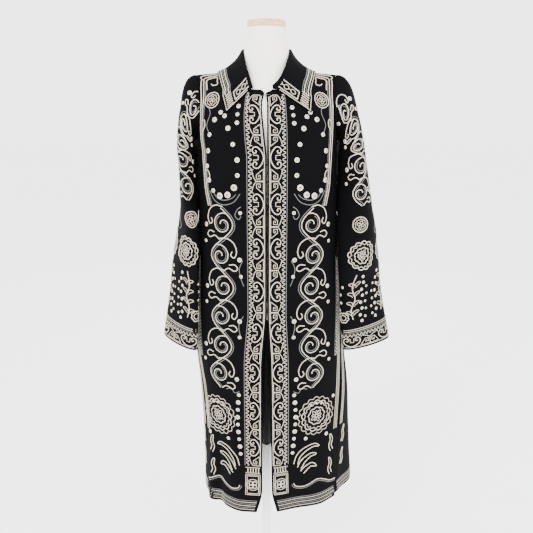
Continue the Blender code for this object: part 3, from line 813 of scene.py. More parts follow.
def cloth_wall(name, outer, inner, made_of, closed=False):
    """A thin closed shell between two grids, with a UV map in metres along the cloth."""
    work = bmesh.new()
    uv = work.loops.layers.uv.new("cloth")
    rows, columns = outer.shape[:2]
    run = np.concatenate([outer, outer[:, :1]], axis=1) if closed else outer
    across, down = run_along(run, 1), run_along(run, 0)
    layers = [
        [[work.verts.new(Vector(p) * MM) for p in row] for row in grid]
        for grid in (outer, inner)
    ]

    def face(corners):
        made = work.faces.new([layers[side][i][j % columns] for side, i, j in corners])
        for loop, (_, i, j) in zip(made.loops, corners):
            loop[uv].uv = (across[i][j] * MM, down[i][j] * MM)

    for side in (0, 1):
        for i in range(rows - 1):
            for j in range(run.shape[1] - 1):
                face(((side, i, j), (side, i, j + 1), (side, i + 1, j + 1), (side, i + 1, j)))
    if closed:
        edges = [[(i, j) for j in range(columns + 1)] for i in (0, rows - 1)]
    else:
        ring = [(0, j) for j in range(columns)]
        ring += [(i, columns - 1) for i in range(1, rows)]
        ring += [(rows - 1, j) for j in range(columns - 2, -1, -1)]
        ring += [(i, 0) for i in range(rows - 2, -1, -1)]
        edges = [ring]
    for edge in edges:
        for (i, j), (m, n) in zip(edge, edge[1:]):
            face(((0, i, j), (0, m, n), (1, m, n), (1, i, j)))
    outward(work)
    return finished(name, work, made_of)


def body_panels():
    """Outer grids and normals of the two fronts and the back, with their creases."""
    grids = {"front_left": front_grid(-1), "front_right": front_grid(1), "back": back_grid()}
    plain = dict(grids)
    normals = shared_normals(grids)
    for name, grid in grids.items():
        facing, creases = (-1, BACK_CREASES) if name == "back" else (1, FRONT_CREASES)
        find = seen_from(tree_of([grid]), facing)
        grids[name] = creased(grid, normals[name], own_creases(name, creases), find)
    return plain, grids, normals


def own_creases(name, creases):
    """The creases that lie on this panel."""
    side = {"front_left": -1, "front_right": 1}.get(name, 0)
    return [creases[0]] + [row for row in creases[1:] if row[0] * side >= 0]


def neck_places(grids, side):
    """Closely spaced places along one half's neck seam, from the front to the back."""
    front = grids["front_left" if side < 0 else "front_right"][-1]
    back = grids["back"][-1] if side < 0 else grids["back"][-1][::-1]
    behind = back[SHOULDER_COLUMNS : SHOULDER_COLUMNS + BACK_NECK_COLUMNS + 1]
    edge = np.concatenate([front[: NECK_COLUMNS + 1], behind[1:]])
    runs = [np.linspace(a, b, 4)[:-1] for a, b in zip(edge, edge[1:])]
    return np.concatenate(runs + [edge[-1:]])


def collar_column(tree, seam, top, edge):
    """A line of the collar's middle surface: up from the seam, over the fold, down."""
    away = np.array([top[0], top[1] * 1.1 - 2, 0])
    away /= np.linalg.norm(away)
    inside = seam - away * (SOLID_WALL / 2) + np.array([0, 0, COLLAR_SEAM_RISE])
    drop = np.array([0, 0, min(HAIRPIN_DROP, (top[2] - seam[2]) * 0.35)])
    pin_in = top - away * HAIRPIN - drop
    pin_out = top + away * HAIRPIN - drop
    rest, _ = nearest_cloth(tree, edge)
    tip = rest + (edge - rest) / np.linalg.norm(edge - rest) * COLLAR_OFF_CLOTH
    tip = moved_off(tree, tip, COLLAR_OFF_CLOTH)
    knee = pin_out * 0.62 + tip * 0.38
    low, _ = nearest_cloth(tree, knee)
    knee = low + (knee - low) / max(np.linalg.norm(knee - low), 1e-6) * COLLAR_KNEE
    column = [inside, (inside + pin_in) / 2, pin_in, top, pin_out]
    for q in np.linspace(0.1, 1.0, 12):
        place = (1 - q) ** 2 * pin_out + 2 * q * (1 - q) * knee + q * q * tip
        over_shoulder = math.exp(-(((place[1] - 7) / 16) ** 2))
        column.append(moved_off(tree, place, COLLAR_OFF_CLOTH + over_shoulder))
    return column


def collar_grid(grids):
    """Middle surface of the collar, from its left front end round to the right one."""
    tree = tree_of(grids.values())
    half = COLLAR_COLUMNS // 2
    columns = []
    for side, fold_rows, leaf_rows in (
        (-1, FOLD_LEFT, LEAF_LEFT),
        (1, FOLD_RIGHT, LEAF_RIGHT),
    ):
        seams = neck_places(grids, side)
        fold = along(fold_rows, half, even=False)
        leaf = along(leaf_rows, half, even=False)
        run = []
        for top, edge in zip(fold, leaf):
            distances = np.linalg.norm((seams - top)[:, :2], axis=1)
            run.append(collar_column(tree, seams[np.argmin(distances)], top, edge))
        columns += run if side < 0 else run[::-1][1:]
    return np.array(columns)


def collar_normals(grid):
    """Unit normals of the collar's middle surface, out of the leaf's upper side."""
    normals = np.cross(np.gradient(grid, axis=0), np.gradient(grid, axis=1))
    up = normals[:, -1, 2]
    away = (normals[:, -1, :2] * grid[:, -1, :2]).sum(axis=1)
    if (up + away / 100).sum() < 0:
        normals = -normals
    return normals / np.linalg.norm(normals, axis=2, keepdims=True)


def form_point(height, angle):
    """A point of the dress form below its shoulders."""
    s, c = math.sin(math.radians(angle)), math.cos(math.radians(angle))
    half, power = smooth(FORM, height, "half"), smooth(FORM, height, "round")
    deep = smooth(FORM, height, "front" if c > 0 else "back")
    x = half * math.copysign(abs(s) ** power, s)
    return np.array([x, -deep * math.copysign(abs(c) ** power, c), height])


def form_quarter(tree, side, facing, neckline):
    """A quarter of the form's body, from its lowest section up to its shoulder."""
    count = FORM_NECK_COLUMNS + SHOULDER_COLUMNS
    angles = side * np.linspace(0 if facing > 0 else 180, 90, count + 1)
    heights = np.linspace(FORM[1][0], UNDERARM, FORM_ROWS + 1)
    rows = [[form_point(height, a) for a in angles] for height in heights]
    below = [form_point(UNDERARM - 10, a) for a in angles]
    neck = along(neckline, FORM_NECK_COLUMNS) * (side, 1, 1)
    neck[0][0] = 0
    shoulder = along(SHOULDER, SHOULDER_COLUMNS) * (side, 1, 1)
    top = np.concatenate([neck, shoulder[1:]])
    size = np.linalg.norm(top[:, :2], axis=1)
    narrower = (size - FORM_DROP - 1.5) / size
    last_neck = FORM_NECK_COLUMNS + 1
    top[:, 0] *= narrower
    top[:last_neck, 1] *= narrower[:last_neck]
    top[:, 2] -= FORM_DROP
    neck_half = abs(top[FORM_NECK_COLUMNS, 0])
    reach = abs(top[last_neck:, 0]) - neck_half
    top[last_neck:, 0] = side * (neck_half + reach * 0.93)
    rows += yoke(np.array(rows[-1]), np.array(below), top, side, facing)
    grid = np.array(rows)
    for row in grid[FORM_ROWS:]:
        for j in range(1, count + 1):
            # Three goes, because the nearest cloth can change as a point moves.
            for _ in range(3):
                row[j] = moved_in(tree, row[j], FORM_DROP + 0.3)
    return grid


def armhole_rings(quarters, side):
    """Rings that close the form's armhole with a slightly raised plate, and its middle."""
    up = quarters["front", side][FORM_ROWS:, -1]
    down = quarters["back", side][FORM_ROWS:, -1][::-1]
    loop = np.concatenate([up, down[1:-1]])
    middle = loop.mean(axis=0) + (side * PLATE_RISE, 0, 0)
    rings = []
    for share in (0, 0.35, 0.7):
        ring = loop + (middle - loop) * share
        ring[:, 0] += side * PLATE_RISE / 2 * math.sin(math.pi * share)
        rings.append(ring)
    return rings, middle


def neck_rings(quarters):
    """Rings of the form's neck, from its neckline to the flat top under the cap."""
    count = FORM_NECK_COLUMNS
    base = np.concatenate(
        [
            quarters["front", 1][-1, : count + 1],
            quarters["back", 1][-1, :count][::-1],
            quarters["back", -1][-1, 1 : count + 1],
            quarters["front", -1][-1, 1:count][::-1],
        ]
    )
    angles = np.arctan2(base[:, 0], -base[:, 1])
    rings = [base]
    for half, front, back, at_side, at_front, at_back in FORM_NECK[1:]:
        ring = []
        for s, c in zip(np.sin(angles), np.cos(angles)):
            end, deep = (at_front, front) if c > 0 else (at_back, back)
            ring.append((half * s, -deep * c, at_side * s * s + end * c * c))
        rings.append(np.array(ring))
    # Five steps from each ring to the next, on a smooth curve up the neck
    shares = np.linspace(0, 1, len(rings))
    lines = np.array(rings).transpose(1, 2, 0)
    fine = []
    for t in np.linspace(0, 1, (len(rings) - 1) * 5 + 1):
        fine.append([[curve(shares, values, t) for values in line] for line in lines])
    return np.array(fine)


def underside_rings():
    """Rings that turn the form's lower edge in with a small radius."""
    quarter = np.linspace(0, 90, FORM_NECK_COLUMNS + SHOULDER_COLUMNS + 1)[:-1]
    angles = np.concatenate([quarter + start for start in (0, 90, 180, 270)])
    lowest = FORM[1][0]
    rings = []
    for turn in np.radians((0, 22, 45, 68, 90)):
        shrink, fall = 8 * (1 - math.cos(turn)), 8 * math.sin(turn)
        ring = np.array([form_point(lowest, a) for a in angles])
        size = np.linalg.norm(ring[:, :2], axis=1, keepdims=True)
        ring[:, :2] *= (size - shrink) / size
        ring[:, 2] = lowest - fall
        rings.append(ring)
    return rings


def build_form(grids, made_of):
    """The dress form: four quarters, two armhole plates, a neck and a flat underside."""
    work = bmesh.new()
    tree = tree_of(grids.values())

    def loft(grid, close=False):
        layer = [[work.verts.new(Vector(p) * MM) for p in row] for row in grid]
        for low, high in zip(layer, layer[1:]):
            for j in range(len(low) - (0 if close else 1)):
                k = (j + 1) % len(low)
                work.faces.new((low[j], low[k], high[k], high[j]))
        return layer

    quarters = {}
    for name, facing, neckline in (("front", 1, FRONT_NECK), ("back", -1, BACK_NECK)):
        for side in (-1, 1):
            quarters[name, side] = form_quarter(tree, side, facing, neckline)
            loft(quarters[name, side])
    for side in (-1, 1):
        rings, middle = armhole_rings(quarters, side)
        inner = loft(rings, close=True)[-1]
        hub = work.verts.new(Vector(middle) * MM)
        for a, b in zip(inner, inner[1:] + inner[:1]):
            work.faces.new((a, b, hub))
    for rings in (neck_rings(quarters), underside_rings()):
        work.faces.new(loft(rings, close=True)[-1])
    bmesh.ops.remove_doubles(work, verts=work.verts, dist=WELD)
    outward(work)
    seated(finished("form_cover", work, made_of), "dress_form", "form_cover")


def spun(profile, steps):
    """A closed form turned about the Z axis, from its (radius, height) profile."""
    work = bmesh.new()
    verts = [work.verts.new((r * MM, 0, z * MM)) for r, z in profile]
    edges = [work.edges.new(pair) for pair in zip(verts, verts[1:])]
    geom, around = verts + edges, 2 * math.pi
    bmesh.ops.spin(work, geom=geom, cent=(0, 0, 0), axis=(0, 0, 1), angle=around, steps=steps)
    bmesh.ops.remove_doubles(work, verts=work.verts, dist=WELD)
    outward(work)
    return work


def turned(name, profile, made_of):
    """A turned piece with its sharp edges kept."""
    piece = finished(name, spun(profile, TURNED_STEPS), made_of)
    piece.data.set_sharp_from_angle(angle=math.radians(SHARP_DEGREES))
    return piece


def rounded(corner, size, first, last, steps=5):
    """Profile points of a round edge about a centre, between two directions in degrees."""
    turns = np.radians(np.linspace(first, last, steps + 1))
    return [(corner[0] + size * math.cos(t), corner[1] + size * math.sin(t)) for t in turns]


def step_lengths(path):
    """Distance along a path at each of its points."""
    return np.concatenate([[0], np.cumsum(np.linalg.norm(np.diff(path, axis=0), axis=1))])


def even(path, step=2.6):
    """The same path with evenly spaced points."""
    path = np.asarray(path, float)
    run = step_lengths(path)
    marks = np.linspace(0, run[-1], max(2, int(run[-1] / step) + 1))
    return np.stack([np.interp(marks, run, path[:, k]) for k in (0, 1)], axis=1)


def flowing(places, step=2.6, closed=False):
    """A smooth path through given points."""
    p = np.asarray(places, float)
    if closed:
        p = np.concatenate([p[-1:], p, p[:2]])
    else:
        p = np.concatenate([2 * p[:1] - p[1:2], p, 2 * p[-1:] - p[-2:-1]])
    t = np.linspace(0, 1, 12, endpoint=False)[:, None]
    parts = []
    for a, b, c, d in zip(p, p[1:], p[2:], p[3:]):
        parts.append(
            b + (c - a) / 2 * t + (a - 2.5 * b + 2 * c - d / 2) * t**2
            + (1.5 * b - a / 2 - 1.5 * c + d / 2) * t**3
        )
    return even(np.concatenate(parts + [p[-2:-1]]), step)


def cornered(places, step=2.6, closed=False):
    """A path of straight runs that keeps its corners."""
    p = [np.asarray(place, float) for place in places]
    if closed:
        p.append(p[0])
    parts = []
    for a, b in zip(p, p[1:]):
        count = max(1, round(float(np.linalg.norm(b - a)) / step / 2))
        parts += [a + (b - a) * k / count for k in range(count)]
    return np.array(parts + [p[-1]])


def polar(middle, radius, turns):
    """Points about a centre, at these distances and directions."""
    return np.stack([middle[0] + radius * np.cos(turns), middle[1] + radius * np.sin(turns)], axis=1)


def arc(middle, radius, first, last, step=2.4):
    """Part of a circle, between two directions in degrees."""
    size = abs(math.radians(last - first)) * radius
    turns = np.radians(np.linspace(first, last, max(4, int(size / step) + 1)))
    return polar(middle, radius, turns)


def spiral(middle, outer, inner, start, turns, step=2.4):
    """A spiral from its outer end to its inner end. Positive turns run anticlockwise."""
    count = max(8, int(abs(turns) * math.pi * (outer + inner) / step))
    share = np.linspace(0, 1, count)
    angle = math.radians(start) + share * turns * 2 * math.pi
    return polar(middle, outer + (inner - outer) * share, angle)


def beside(path, distance):
    """The path shifted sideways, as a second cord laid along the first."""
    run = np.gradient(path, axis=0)
    run /= np.maximum(np.linalg.norm(run, axis=1, keepdims=True), 1e-6)
    return path + np.stack([-run[:, 1], run[:, 0]], axis=1) * distance


def placed(path, at=(0, 0), turn=0.0, size=1.0, mirror=False):
    """A path moved, turned, scaled and mirrored into its place."""
    path = np.asarray(path, float) * ((-size if mirror else size), size)
    c, s = math.cos(math.radians(turn)), math.sin(math.radians(turn))
    return path @ np.array([[c, s], [-s, c]]) + np.asarray(at, float)


def finger(spine, wide):
    """The outline of a slim leaf or finger round its spine, open at its root."""
    spine = flowing(spine)
    share = np.linspace(0, 1, len(spine))[:, None]
    half = wide / 2 * np.sqrt(np.clip(1 - share**4, 0, 1))
    off = (beside(spine, 1) - spine) * half
    return even(np.concatenate([spine + off, (spine - off)[::-1]]))


def scalloped(middle, radius, lobes, depth, turn=0.0, step=2.2):
    """A closed ring of scallops."""
    count = max(lobes * 8, int(2 * math.pi * radius / step))
    t = np.linspace(0, 2 * math.pi, count, endpoint=False)
    r = radius - depth * (1 - np.abs(np.sin(lobes * (t + math.radians(turn)) / 2)))
    return polar(middle, r, t)


def wavy(start, end, period, swing, step=1.7):
    """A small even wave along a straight line."""
    start, end = np.asarray(start, float), np.asarray(end, float)
    size = np.linalg.norm(end - start)
    share = np.linspace(0, 1, max(4, int(size * 1.9 / step)))
    out = np.array([-(end - start)[1], (end - start)[0]]) / size
    wave = np.tanh(1.8 * np.sin(share * size / period * 2 * math.pi)) * swing
    return start + (end - start) * share[:, None] + out * wave[:, None]


def scroll_and_fret(low, high):
    """A border of scroll hearts, key frets and a small wave, in (distance, height)."""
    sewn = []
    count = max(1, round((high - low) / BORDER_REPEAT))
    pitch = (high - low) / count
    tall = pitch / BORDER_REPEAT
    for k in range(count):
        middle = low + pitch * (k + 0.5)
        for up in (1, -1):

            def put(kind, places, smooth_run=True, up=up, middle=middle):
                path = flowing(places, 2.0) if smooth_run else cornered(places, 2.0)
                sewn.append((kind, path * (1, up * tall) + (0, middle)))

            put("bright", ((7, 0), (8.5, 7), (13, 16), (20, 22.5), (27.5, 22), (31.5, 16.5),
                           (30, 10.5), (25, 9.5), (22.5, 13), (24.5, 15.5)))
            put("fine", ((19, 0), (19, 4.6), (29, 5), (31, 7)), False)
            put("fine", ((7.5, 51), (7.5, 24), (23.5, 37), (23.5, 46), (14.5, 46), (14.5, 38),
                         (18.5, 38), (18.5, 42)), False)
            put("fine", ((7.5, 51), (25, 51), (30, 43), (32.5, 35), (34.5, 27), (31, 25)), False)
    sewn.append(("fine", wavy((38.5, low), (38.5, high), 10.3, 3.3)))
    sewn.append(("grey", cornered(((45.5, low), (45.5, high)), 4)))
    sewn.append(("fine", cornered(((5, low), (5, high)), 4)))
    return sewn


def bars_and_knot(low):
    """The foot of the front border: a row of bars, and a boxed knot under it."""
    sewn = [("fine", cornered(((6, low + y), (44, low + y)), 3)) for y in (66, 82)]
    sewn += [("bright", cornered(((x, low + 68), (x, low + 80)), 3)) for x in (10, 17, 24, 31, 38)]
    for inset in (0, 4):
        box = ((6 + inset, low + inset), (44 - inset, low + inset),
               (44 - inset, low + 61 - inset), (6 + inset, low + 61 - inset))
        sewn.append(("fine", cornered(box, 3, closed=True)))
    middle = (25, low + 30.5)
    sewn.append(("fine", arc(middle, 16.5, 0, 360)))
    for turn in (0, 90, 180, 270):
        loop = [(0, 1), (5, 5), (10.5, 4), (12, 0), (10.5, -4), (5, -5), (0, -1)]
        sewn.append(("bright", placed(flowing(loop, 2.0), middle, turn + 45)))
    return sewn


def rosette(at, radius, turn=0.0):
    """Rings of scallops round a many-petalled flower."""
    sewn = [("bright", scalloped(at, radius, 13, radius * 0.12, turn))]
    sewn.append(("fine", scalloped(at, radius * 0.83, 17, radius * 0.1, turn + 8, 1.8)))
    sewn.append(("bright", scalloped(at, radius * 0.56, 9, radius * 0.07, turn)))
    for k in range(9):
        long = radius * (0.42 if k % 2 else 0.34)
        near, far, half = long * 0.2, long * 0.6, long * 0.2
        petal = ((near, 0.6), (far, half), (long, 0), (far, -half), (near, -0.6))
        sewn.append(("fine", placed(flowing(petal, 1.8), at, turn + 40 * k)))
    return sewn


def roundel(at, radius):
    """A small wheel: two rings and a cross of loops."""
    sewn = [("bright", arc(at, radius, 0, 360))]
    sewn.append(("fine", scalloped(at, radius * 0.74, 9, 2.0, 0, 1.8)))
    far, half = radius * 0.3, radius * 0.2
    for turn in (20, 110, 200, 290):
        loop = [(0.8, 0.6), (far, half), (radius * 0.5, 0), (far, -half), (0.8, -0.6)]
        sewn.append(("fine", placed(flowing(loop, 1.6), at, turn)))
    return sewn


def fronds(at, size, turn=0.0, mirror=False):
    """A fan of three blunt fingers that curl away from their root."""
    spines = (
        ((0, 0), (7, 20), (24, 36), (46, 40), (60, 34)),
        ((8, -12), (18, 6), (34, 17), (52, 16)),
        ((14, -24), (26, -12), (38, -8), (50, -16)),
    )
    return [("bright", placed(finger(spine, 10), at, turn, size, mirror)) for spine in spines]


def rinceau(low, high, middle, swing, bays, side=1):
    """A waving stem with a scroll and two hooks in each bay. It returns discs too."""
    tall = (high - low) / bays
    unit = tall / 77
    share = np.linspace(0, 1, bays * 24 + 1)
    wave = middle + side * swing * np.sin(share * bays * math.pi)
    stem = even(np.stack([wave, low + share * (high - low)], axis=1))
    sewn, spots = [("bright", stem), ("grey", beside(stem, 5.5 * side))], []
    for k in range(bays):
        flip = side * (1 if k % 2 == 0 else -1)
        at = (middle, low + tall * (k + 0.5))
        curl = spiral((swing * 0.15, 0), 28 * unit, 6 * unit, 62, 1.32)
        upper = ((5, 42), (-14, 44), (-32, 34), (-40, 14), (-34, -2), (-25, 4), (-29, 13))
        lower = ((-4, -38), (-18, -29), (-34, -35), (-42, -28), (-34, -19), (-20, -21))
        for kind, path in (
            ("bright", curl),
            ("grey", beside(curl, 5.2)[6:-12]),
            ("bright", flowing(np.array(upper) * unit)),
            ("bright", flowing(np.array(lower) * unit)),
        ):
            sewn.append((kind, placed(path, at, 0, 1, flip < 0)))
        spots.append((middle - flip * 47 * unit, at[1] - 6 * unit, 0.95))
        spots.append((middle + flip * 50 * unit, at[1] + 30 * unit, 0.75))
    return sewn, spots


def chart(grid, normals, heights, middle=0, step=4.0):
    """A flat map of a surface: distance along each row from one column, and height."""
    run = run_along(grid, 1)
    run -= run[:, middle][:, None]
    marks = np.arange(run.min(), run.max() + step, step)

    def resampled(values):
        pairs = zip(run, values.transpose(0, 2, 1))
        rows = [[np.interp(marks, known, column) for column in columns] for known, columns in pairs]
        return np.array(rows).transpose(0, 2, 1)

    return {
        "heights": np.asarray(heights, float),
        "marks": marks,
        "places": resampled(grid),
        "outs": resampled(normals),
        "first": run[:, 0],
        "last": run[:, -1],
    }


def found(flat, path):
    """The places and outward normals of a chart at (distance, height) points."""
    heights, marks = flat["heights"], flat["marks"]
    row = np.interp(path[:, 1], heights, np.arange(len(heights)))
    column = (path[:, 0] - marks[0]) / (marks[1] - marks[0])
    i = np.clip(row.astype(int), 0, len(heights) - 2)
    j = np.clip(column.astype(int), 0, len(marks) - 2)
    f, g = (row - i)[:, None], np.clip(column - j, 0, 1)[:, None]
    mixed = []
    for values in (flat["places"], flat["outs"]):
        low = values[i, j] * (1 - g) + values[i, j + 1] * g
        high = values[i + 1, j] * (1 - g) + values[i + 1, j + 1] * g
        mixed.append(low * (1 - f) + high * f)
    return mixed[0], mixed[1] / np.linalg.norm(mixed[1], axis=1, keepdims=True)


def laid(flat, path, margin=CORD_MARGIN):
    """The stretches of a flat path that lie on a chart, as places and outward normals."""
    heights = flat["heights"]
    inside = path[:, 0] > np.interp(path[:, 1], heights, flat["first"]) + margin
    inside &= path[:, 0] < np.interp(path[:, 1], heights, flat["last"]) - margin
    inside &= (path[:, 1] > heights[0] + margin) & (path[:, 1] < heights[-1] - margin)
    places, outs = found(flat, path)
    turns = np.flatnonzero(np.diff(inside.astype(int))) + 1
    groups = np.split(np.arange(len(path)), turns)
    return [(places[g], outs[g]) for g in groups if inside[g[0]] and len(g) > 2]


def all_laid(flat, drawn, margin=CORD_MARGIN):
    """Every stretch of the drawn (kind, path) cords that lies on a chart."""
    return [(kind, run) for kind, path in drawn for run in laid(flat, path, margin)]


def unskewed(flat, centre, sewn):
    """Shapes drawn round (0, 0), set at a place of a chart so that they keep their form."""
    places, outs = found(flat, np.array(((0, 0), (4, 0), (0, 4))) + centre)
    along, up = (places[1] - places[0]) / 4, (places[2] - places[0]) / 4
    aside = along / np.linalg.norm(along)
    rise = np.cross(outs[0], aside)
    rise *= np.sign(rise @ up)
    back = np.linalg.inv([[along @ aside, up @ aside], [along @ rise, up @ rise]])
    return [(kind, path @ back.T + centre) for kind, path in sewn]


def new_tree(name, inputs, output):
    """A geometry node tree with named inputs. It returns the tree and their sockets."""
    tree = bpy.data.node_groups.new(name, "GeometryNodeTree")
    for label, kind in inputs:
        tree.interface.new_socket(label, in_out="INPUT", socket_type="NodeSocket" + kind)
    tree.interface.new_socket(output, in_out="OUTPUT", socket_type="NodeSocketGeometry")
    return tree, node(tree, "NodeGroupInput").outputs


def finish_tree(tree, geometry, material, output):
    """Ends a tree: instances made real, shaded smooth, and given their material."""
    real = node(tree, "GeometryNodeRealizeInstances", {"Geometry": geometry}).outputs[0]
    soft = node(tree, "GeometryNodeSetShadeSmooth", {"Geometry": real}).outputs[0]
    made = node(tree, "GeometryNodeSetMaterial", {"Geometry": soft, "Material": material}).outputs[0]
    node(tree, "NodeGroupOutput", {output: made})
    return tree


def cord_tree():
    """Sweeps the cord's section along each line, with its ribs turned away from the cloth."""
    inputs = (("Lines", "Geometry"), ("Section", "Object"), ("Finish", "Material"))
    tree, given = new_tree("couched_cord", inputs, "Cord")
    known = (("out", "FLOAT_VECTOR"), ("wide", "FLOAT"), ("run", "FLOAT"), ("across", "FLOAT"))
    out, wide, run, across = (
        node(tree, "GeometryNodeInputNamedAttribute", {"Name": name}, data_type=kind).outputs[0]
        for name, kind in known
    )
    ring = node(tree, "GeometryNodeObjectInfo", {"Object": given["Section"]}).outputs["Geometry"]
    section = node(tree, "GeometryNodeMeshToCurve", {"Mesh": ring}).outputs["Curve"]
    line = node(tree, "GeometryNodeMeshToCurve", {"Mesh": given["Lines"]}).outputs["Curve"]
    facing = node(tree, "GeometryNodeSetCurveNormal", {"Curve": line, "Normal": out}, mode="FREE")
    swept = node(tree, "GeometryNodeCurveToMesh", {
        "Curve": facing.outputs["Curve"], "Profile Curve": section, "Scale": wide, "Fill Caps": True})
    aside = node(tree, "ShaderNodeMath", {0: across, 1: wide}, operation="MULTIPLY").outputs[0]
    place = node(tree, "ShaderNodeCombineXYZ", {"X": run, "Y": aside}).outputs[0]
    stored = {"Geometry": swept.outputs["Mesh"], "Name": "cord", "Value": place}
    mapped = node(tree, "GeometryNodeStoreNamedAttribute", stored, data_type="FLOAT2", domain="CORNER")
    return finish_tree(tree, mapped.outputs["Geometry"], given["Finish"], "Cord")


def disc_tree():
    """Sets a disc on each point, along its normal and at its size."""
    inputs = (("Points", "Geometry"), ("Disc", "Object"), ("Finish", "Material"))
    tree, given = new_tree("sewn_discs", inputs, "Discs")
    out, wide = (
        node(tree, "GeometryNodeInputNamedAttribute", {"Name": name}, data_type=kind).outputs[0]
        for name, kind in (("out", "FLOAT_VECTOR"), ("wide", "FLOAT"))
    )
    disc = node(tree, "GeometryNodeObjectInfo", {"Object": given["Disc"]}).outputs["Geometry"]
    turn = node(tree, "FunctionNodeAlignRotationToVector", {"Vector": out}, axis="Z").outputs["Rotation"]
    spread = node(tree, "GeometryNodeInstanceOnPoints", {
        "Points": given["Points"], "Instance": disc, "Rotation": turn, "Scale": wide})
    return finish_tree(tree, spread.outputs["Instances"], given["Finish"], "Discs")


def section_shape():
    """The cord's section, one unit wide, as a closed ring of edges."""
    mesh = bpy.data.meshes.new("cord_section")
    count = len(CORD_SECTION)
    ring = [(height - CORD_SUNK, across, 0) for across, height in CORD_SECTION]
    mesh.from_pydata(ring, [(i, (i + 1) % count) for i in range(count)], [])
    values = mesh.attributes.new("across", "FLOAT", "POINT").data
    values.foreach_set("value", [across for across, _ in CORD_SECTION])
    return bpy.data.objects.new("cord_section", mesh)


def disc_shape():
    """One domed disc with a bevelled rim and a dimple for its thread."""
    work = spun(DISC_PROFILE, DISC_SIDES)
    uv = work.loops.layers.uv.new("disc")
    for face in work.faces:
        for loop in face.loops:
            loop[uv].uv = loop.vert.co.xy / (DISC_RADIUS * MM)
    mesh = bpy.data.meshes.new("disc_shape")
    work.to_mesh(mesh)
    work.free()
    return bpy.data.objects.new("disc_shape", mesh)


def grown(name, places, outs, wide, tree, given, edges=(), run=None):
    """What a tree makes from points on the cloth, as one plain mesh that rides with it."""
    mesh = bpy.data.meshes.new(name + "_seed")
    mesh.from_pydata(places * MM, edges, [])
    mesh.attributes.new("out", "FLOAT_VECTOR", "POINT").data.foreach_set("vector", outs.ravel())
    mesh.attributes.new("wide", "FLOAT", "POINT").data.foreach_set("value", wide)
    if run is not None:
        mesh.attributes.new("run", "FLOAT", "POINT").data.foreach_set("value", run)
    seed = added(name + "_seed", mesh)
    growth = seed.modifiers.new("growth", "NODES")
    growth.node_group = tree
    for item in tree.interface.items_tree:
        if item.name in given:
            growth[item.identifier] = given[item.name]
    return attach(made_plain(name, seed), "root")


def couched(name, runs, tree, section, made_of):
    """Flat braided cords laid on the cloth, with their length as the U of their map."""
    counts = [len(places) for places, _, _ in runs]
    firsts = np.cumsum([0] + counts[:-1])
    spans = [range(first, first + count - 1) for first, count in zip(firsts, counts)]
    edges = [(k, k + 1) for span in spans for k in span]
    return grown(
        name,
        np.concatenate([places for places, _, _ in runs]),
        np.concatenate([outs for _, outs, _ in runs]),
        np.repeat([wide * MM for _, _, wide in runs], counts),
        tree,
        {"Section": section, "Finish": made_of},
        edges,
        np.concatenate([step_lengths(places) * MM for places, _, _ in runs]),
    )


def hem_lines(first, last):
    """The plain lines along a hem, every second one charcoal."""
    heights = [HEM_LINE_LOW + HEM_LINE_PITCH * k for k in range(HEM_LINES)]
    kinds = ("fine", "grey")
    return [(kinds[k % 2], cornered(((first, y), (last, y)), 5)) for k, y in enumerate(heights)]


def front_trimming():
    """What is sewn on each front: cords and discs by distance from its edge and height."""
    cords = scroll_and_fret(BORDER_LOW, 1438) + bars_and_knot(402)
    stem, discs = rinceau(700, 1162, 112, 31, 6)
    cords += stem + rosette((124, 618), 44, 10)
    cords.append(("fine", scalloped((124, 618), 54, 17, 6, 4)))
    for points in (
        ((62, 1198), (78, 1178), (104, 1170), (128, 1178), (144, 1200)),
        ((72, 1196), (84, 1186), (104, 1181), (122, 1186), (132, 1198)),
        ((60, 1168), (70, 1160), (75, 1146), (66, 1138), (60, 1146)),
        ((150, 1372), (140, 1358), (146, 1340), (138, 1326)),
        ((57, 1040), (66, 1018), (62, 994), (55, 976)),
        ((57, 900), (66, 880), (63, 858), (56, 842)),
        ((58, 700), (72, 694), (80, 704), (96, 700)),
    ):
        cords.append(("grey", flowing(points)))
    cords += fronds((66, 486), 1.15, 2)
    lower = ((60, 428), (66, 418), (84, 414), (104, 420), (128, 428), (150, 420), (170, 408),
             (200, 404))
    cords += [("bright", flowing(lower)), ("grey", beside(flowing(lower), -5.5))]
    cords += hem_lines(-2, 300)
    for k in range(15):
        way = math.radians(96 + 24 * k)
        size = 1.28 if 6 < k < 10 else (1.02 if k % 2 else 0.9)
        across = 40 * math.cos(way) * (1 - 0.25 * math.sin(way))
        discs.append((108 - across, 1274 + 84 * math.sin(way), size))
    discs += [(64, 1386 - 17 * k, 0.85 - 0.1 * (k % 2)) for k in range(3)]
    discs += [(60 + 4 * math.sin(k * 0.5), 690 - 21 * k, 1.0 if k % 2 else 0.8) for k in range(9)]
    discs += [(108 + 16 * k, 651 + 3 * (k % 2), 0.55) for k in range(3)]
    discs += [(156, 556, 0.9), (178, 660, 0.8), (92, 560, 0.8)]
    return cords, discs


